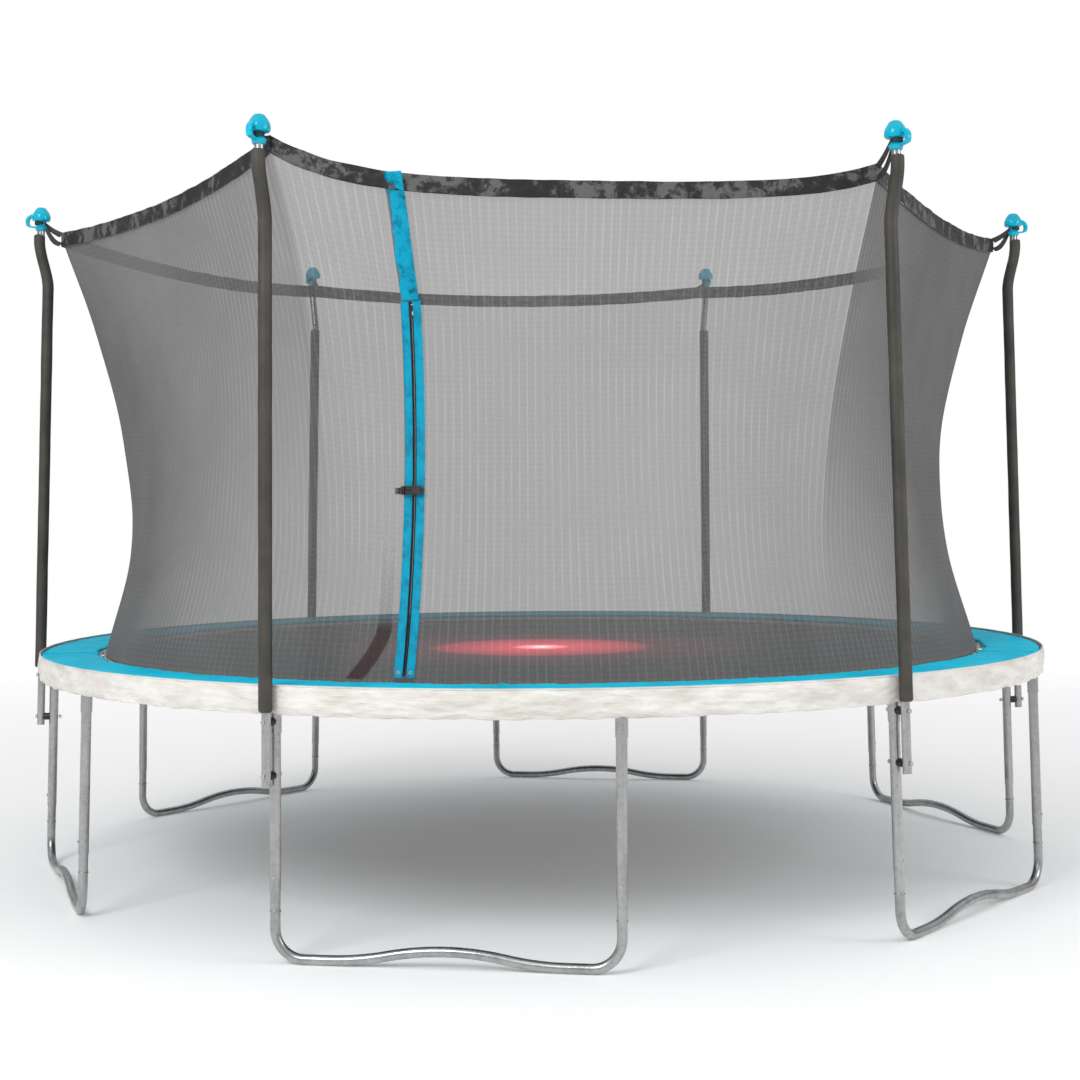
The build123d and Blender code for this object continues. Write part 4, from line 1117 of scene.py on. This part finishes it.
def jumping_mat():
    """Woven mat with a doubled, stitched hem, in wedges round the centre."""
    span = 360 / BED_SECTORS
    stitches = 88
    for k in range(BED_SECTORS):
        middle = -90.0 + span * k
        shape = Shape()
        for face_z, flip in ((MAT_HIGH.z, True), (MAT_LOW.z, False)):

            def mat(u, v, middle=middle, face_z=face_z):
                return polar(middle + span * (u - 0.5), 0.002 + (MAT_R - 0.004) * v, face_z)

            shape.grid(mat, 10, 60, uv=(1.0, 1.9), flip=flip)

        def hem(u, v, middle=middle):
            angle = middle + span * u - span / 2
            turn = 2 * pi * v
            wide, tall = (HEM_R - HEM_IN_R) / 2, 0.0036
            x = wide * max(-1.0, min(1.0, 1.25 * cos(turn)))
            y = tall * max(-1.0, min(1.0, 1.25 * sin(turn)))
            return polar(angle, (HEM_R + HEM_IN_R) / 2 + x, MAT_Z + y)

        shape.grid(hem, 40, 16, uv=(1.0, 0.06), mat=1)
        for r in (HEM_IN_R + 0.0045, HEM_IN_R + 0.0155):
            for q in range(stitches):
                start = middle - span / 2 + span * (q + 0.15) / stitches
                end = middle - span / 2 + span * (q + 0.75) / stitches
                shape.tube([polar(start, r, MAT_Z + 0.0036), polar((start + end) / 2, r, MAT_Z + 0.0044),
                            polar(end, r, MAT_Z + 0.0036)], 0.0005, sides=4, mat=2)
        piece = shape.build(f"mat_sector_{k + 1}", [WEAVE, WEBBING, PALE_THREAD])
        bend_with_bed(piece, middle, "mat_weave", "jump_mat", "mat_hem")


def coil_spring(shape, angle):
    """One wound spring with its two hooks, lying along a spoke."""
    turns, per_turn = 36, 9
    along, across = outward(angle), outward(angle + 90)

    def at(r, y, z):
        return along * r + across * y + UP * (MAT_Z + z)

    ring_hook = ((0.002, -0.0052), (-0.003, -0.0052), (-0.0052, -0.002),
                 (-0.0052, 0.003), (-0.001, 0.0066), (0.007, 0.0085))
    rail_hook = ((-0.019, 0.0125), (-0.005, 0.0137), (-0.001, 0.012), (0.0, 0.008), (0.0, -0.004))
    path = [at(RING_TIP_R + out, 0, z) for out, z in ring_hook]
    for k in range(turns * per_turn + 1):
        turn = 2 * pi * k / per_turn
        r = SPRING_IN_R + (SPRING_OUT_R - SPRING_IN_R) * k / (turns * per_turn)
        path.append(at(r, SPRING_COIL_R * sin(turn), SPRING_COIL_R * cos(turn)))
    path += [at(RAIL_HOLE_R + out, 0, z) for out, z in rail_hook]
    shape.tube(path, SPRING_WIRE_R, sides=5)


def v_ring(shape, angle):
    """Steel triangle ring: its bar lies in the hem and its tip takes the spring's hook."""
    along, across = outward(angle), outward(angle + 90)
    corners = [(-0.028, 0.019), (0.0, 0.008), (0.0, -0.008), (-0.028, -0.019)]
    path = []
    for k, (x, y) in enumerate(corners):
        before, after = corners[k - 1], corners[(k + 1) % 4]
        for (a, b), share in ((before, 0.16), ((x, y), 0.0), (after, 0.16)):
            px, py = x + (a - x) * share, y + (b - y) * share
            pull, inset = (1.0, 0.0) if share else (0.90, 0.001)
            r = RING_TIP_R + px * pull - inset
            path.append(along * r + across * py * pull + UP * MAT_Z)
    shape.tube(path, 0.0019, sides=6, closed=True)


def spring_sets():
    """Springs and rings in groups, one group for each wedge of the bed."""
    per_sector = SPRINGS // BED_SECTORS
    step = 360 / SPRINGS
    for k in range(BED_SECTORS):
        shape = Shape()
        angles = [SPRING_START + step * (per_sector * k + q) for q in range(per_sector)]
        for angle in angles:
            coil_spring(shape, angle)
            v_ring(shape, angle)
        piece = shape.build(f"spring_set_{k + 1}", [ZINC])
        bend_with_bed(piece, angles[per_sector // 2], "zinc_hardware", "springs", "v_rings")


foam_sleeves()
pole_caps()
cap_straps()
enclosure_net()
top_band()
door_edges()
buckle_strap()
door_overlap()
zip_coil(-1)
zip_coil(1)
safety_pad()
pad_skirt()
jumping_mat()
spring_sets()


# ---- floor, light and camera ----
def studio():
    """A pale floor that fades into a white room, with broad soft light."""
    paint = Paint("studio_floor", roughness=0.9)
    gap = paint.node("ShaderNodeVectorMath", operation="LENGTH")
    paint.link(paint.place, gap.inputs[0])
    fade = paint.ramp(paint.math("DIVIDE", gap.outputs["Value"], 12.0), [(0.22, 0.0), (0.8, 1.0)])
    paint.set("Base Color", paint.mix(fade, (0.95, 0.95, 0.95), (0.0, 0.0, 0.0)))
    paint.set("Emission Color", (1.0, 1.0, 1.0))
    paint.set("Emission Strength", paint.math("ADD", paint.math("MULTIPLY", fade, 0.87), 0.13))
    paint.set("Specular IOR Level", 0.0)
    shape = Shape()
    shape.grid(lambda u, v: Vector(((u - 0.5) * 160, (v - 0.5) * 160, 0.0)), 4, 4)
    floor = shape.build("floor", [paint.material])
    world = bpy.data.worlds.new("white_room")
    world.use_nodes = True
    tree = world.node_tree
    room = tree.nodes["Background"]
    seen = tree.nodes.new("ShaderNodeBackground")
    seen.inputs["Color"].default_value = (1.0, 1.0, 1.0, 1.0)
    split = tree.nodes.new("ShaderNodeSeparateXYZ")
    tree.links.new(tree.nodes.new("ShaderNodeTexCoord").outputs["Generated"], split.inputs[0])
    height = tree.nodes.new("ShaderNodeValToRGB")
    for element, (place, level) in zip(height.color_ramp.elements, ((0.0, 0.30), (0.55, 1.0))):
        element.position, element.color = place, (level, level, level, 1.0)
    tree.links.new(split.outputs["Z"], height.inputs["Fac"])
    tree.links.new(height.outputs["Color"], room.inputs["Color"])
    room.inputs["Strength"].default_value = 0.72
    choose = tree.nodes.new("ShaderNodeMixShader")
    tree.links.new(tree.nodes.new("ShaderNodeLightPath").outputs["Is Camera Ray"], choose.inputs[0])
    tree.links.new(room.outputs[0], choose.inputs[1])
    tree.links.new(seen.outputs[0], choose.inputs[2])
    tree.links.new(choose.outputs[0], tree.nodes["World Output"].inputs["Surface"])
    bpy.context.scene.world = world
    lamps = (("key", (-5.0, -7.5, 6.5), 3.5, 400.0), ("fill", (6.5, -4.5, 4.0), 3.0, 130.0))
    for name, place, size, power in lamps:
        lamp = bpy.data.lights.new(name, "AREA")
        lamp.size, lamp.energy = size, power
        holder = bpy.data.objects.new(name, lamp)
        holder.location = place
        holder.rotation_mode = "QUATERNION"
        holder.rotation_quaternion = (Vector((0, 0, 1.2)) - Vector(place)).to_track_quat("-Z", "Y")
        bpy.context.scene.collection.objects.link(holder)
    settings = bpy.context.scene.view_settings
    settings.view_transform = "Standard"
    settings.look = "None"


def camera():
    """Eye-level view from a little left of the doorway, as a standing person sees it."""
    heading, pitch, roll = radians(5.04), radians(-1.04), -0.0075
    ahead = Vector((sin(heading) * cos(pitch), cos(heading) * cos(pitch), sin(pitch)))
    right = Vector((cos(heading), -sin(heading), 0))
    up = right.cross(ahead)
    level, tilt = right * cos(roll) + up * sin(roll), up * cos(roll) - right * sin(roll)
    data = bpy.data.cameras.new("camera")
    data.sensor_width, data.lens = 36.0, 58.77
    data.clip_end = 300.0
    view = bpy.data.objects.new("camera", data)
    view.matrix_world = Matrix((
        (level.x, tilt.x, -ahead.x, -0.688),
        (level.y, tilt.y, -ahead.y, -7.783),
        (level.z, tilt.z, -ahead.z, 1.517),
        (0, 0, 0, 1),
    ))
    bpy.context.scene.collection.objects.link(view)
    bpy.context.scene.camera = view


studio()
camera()
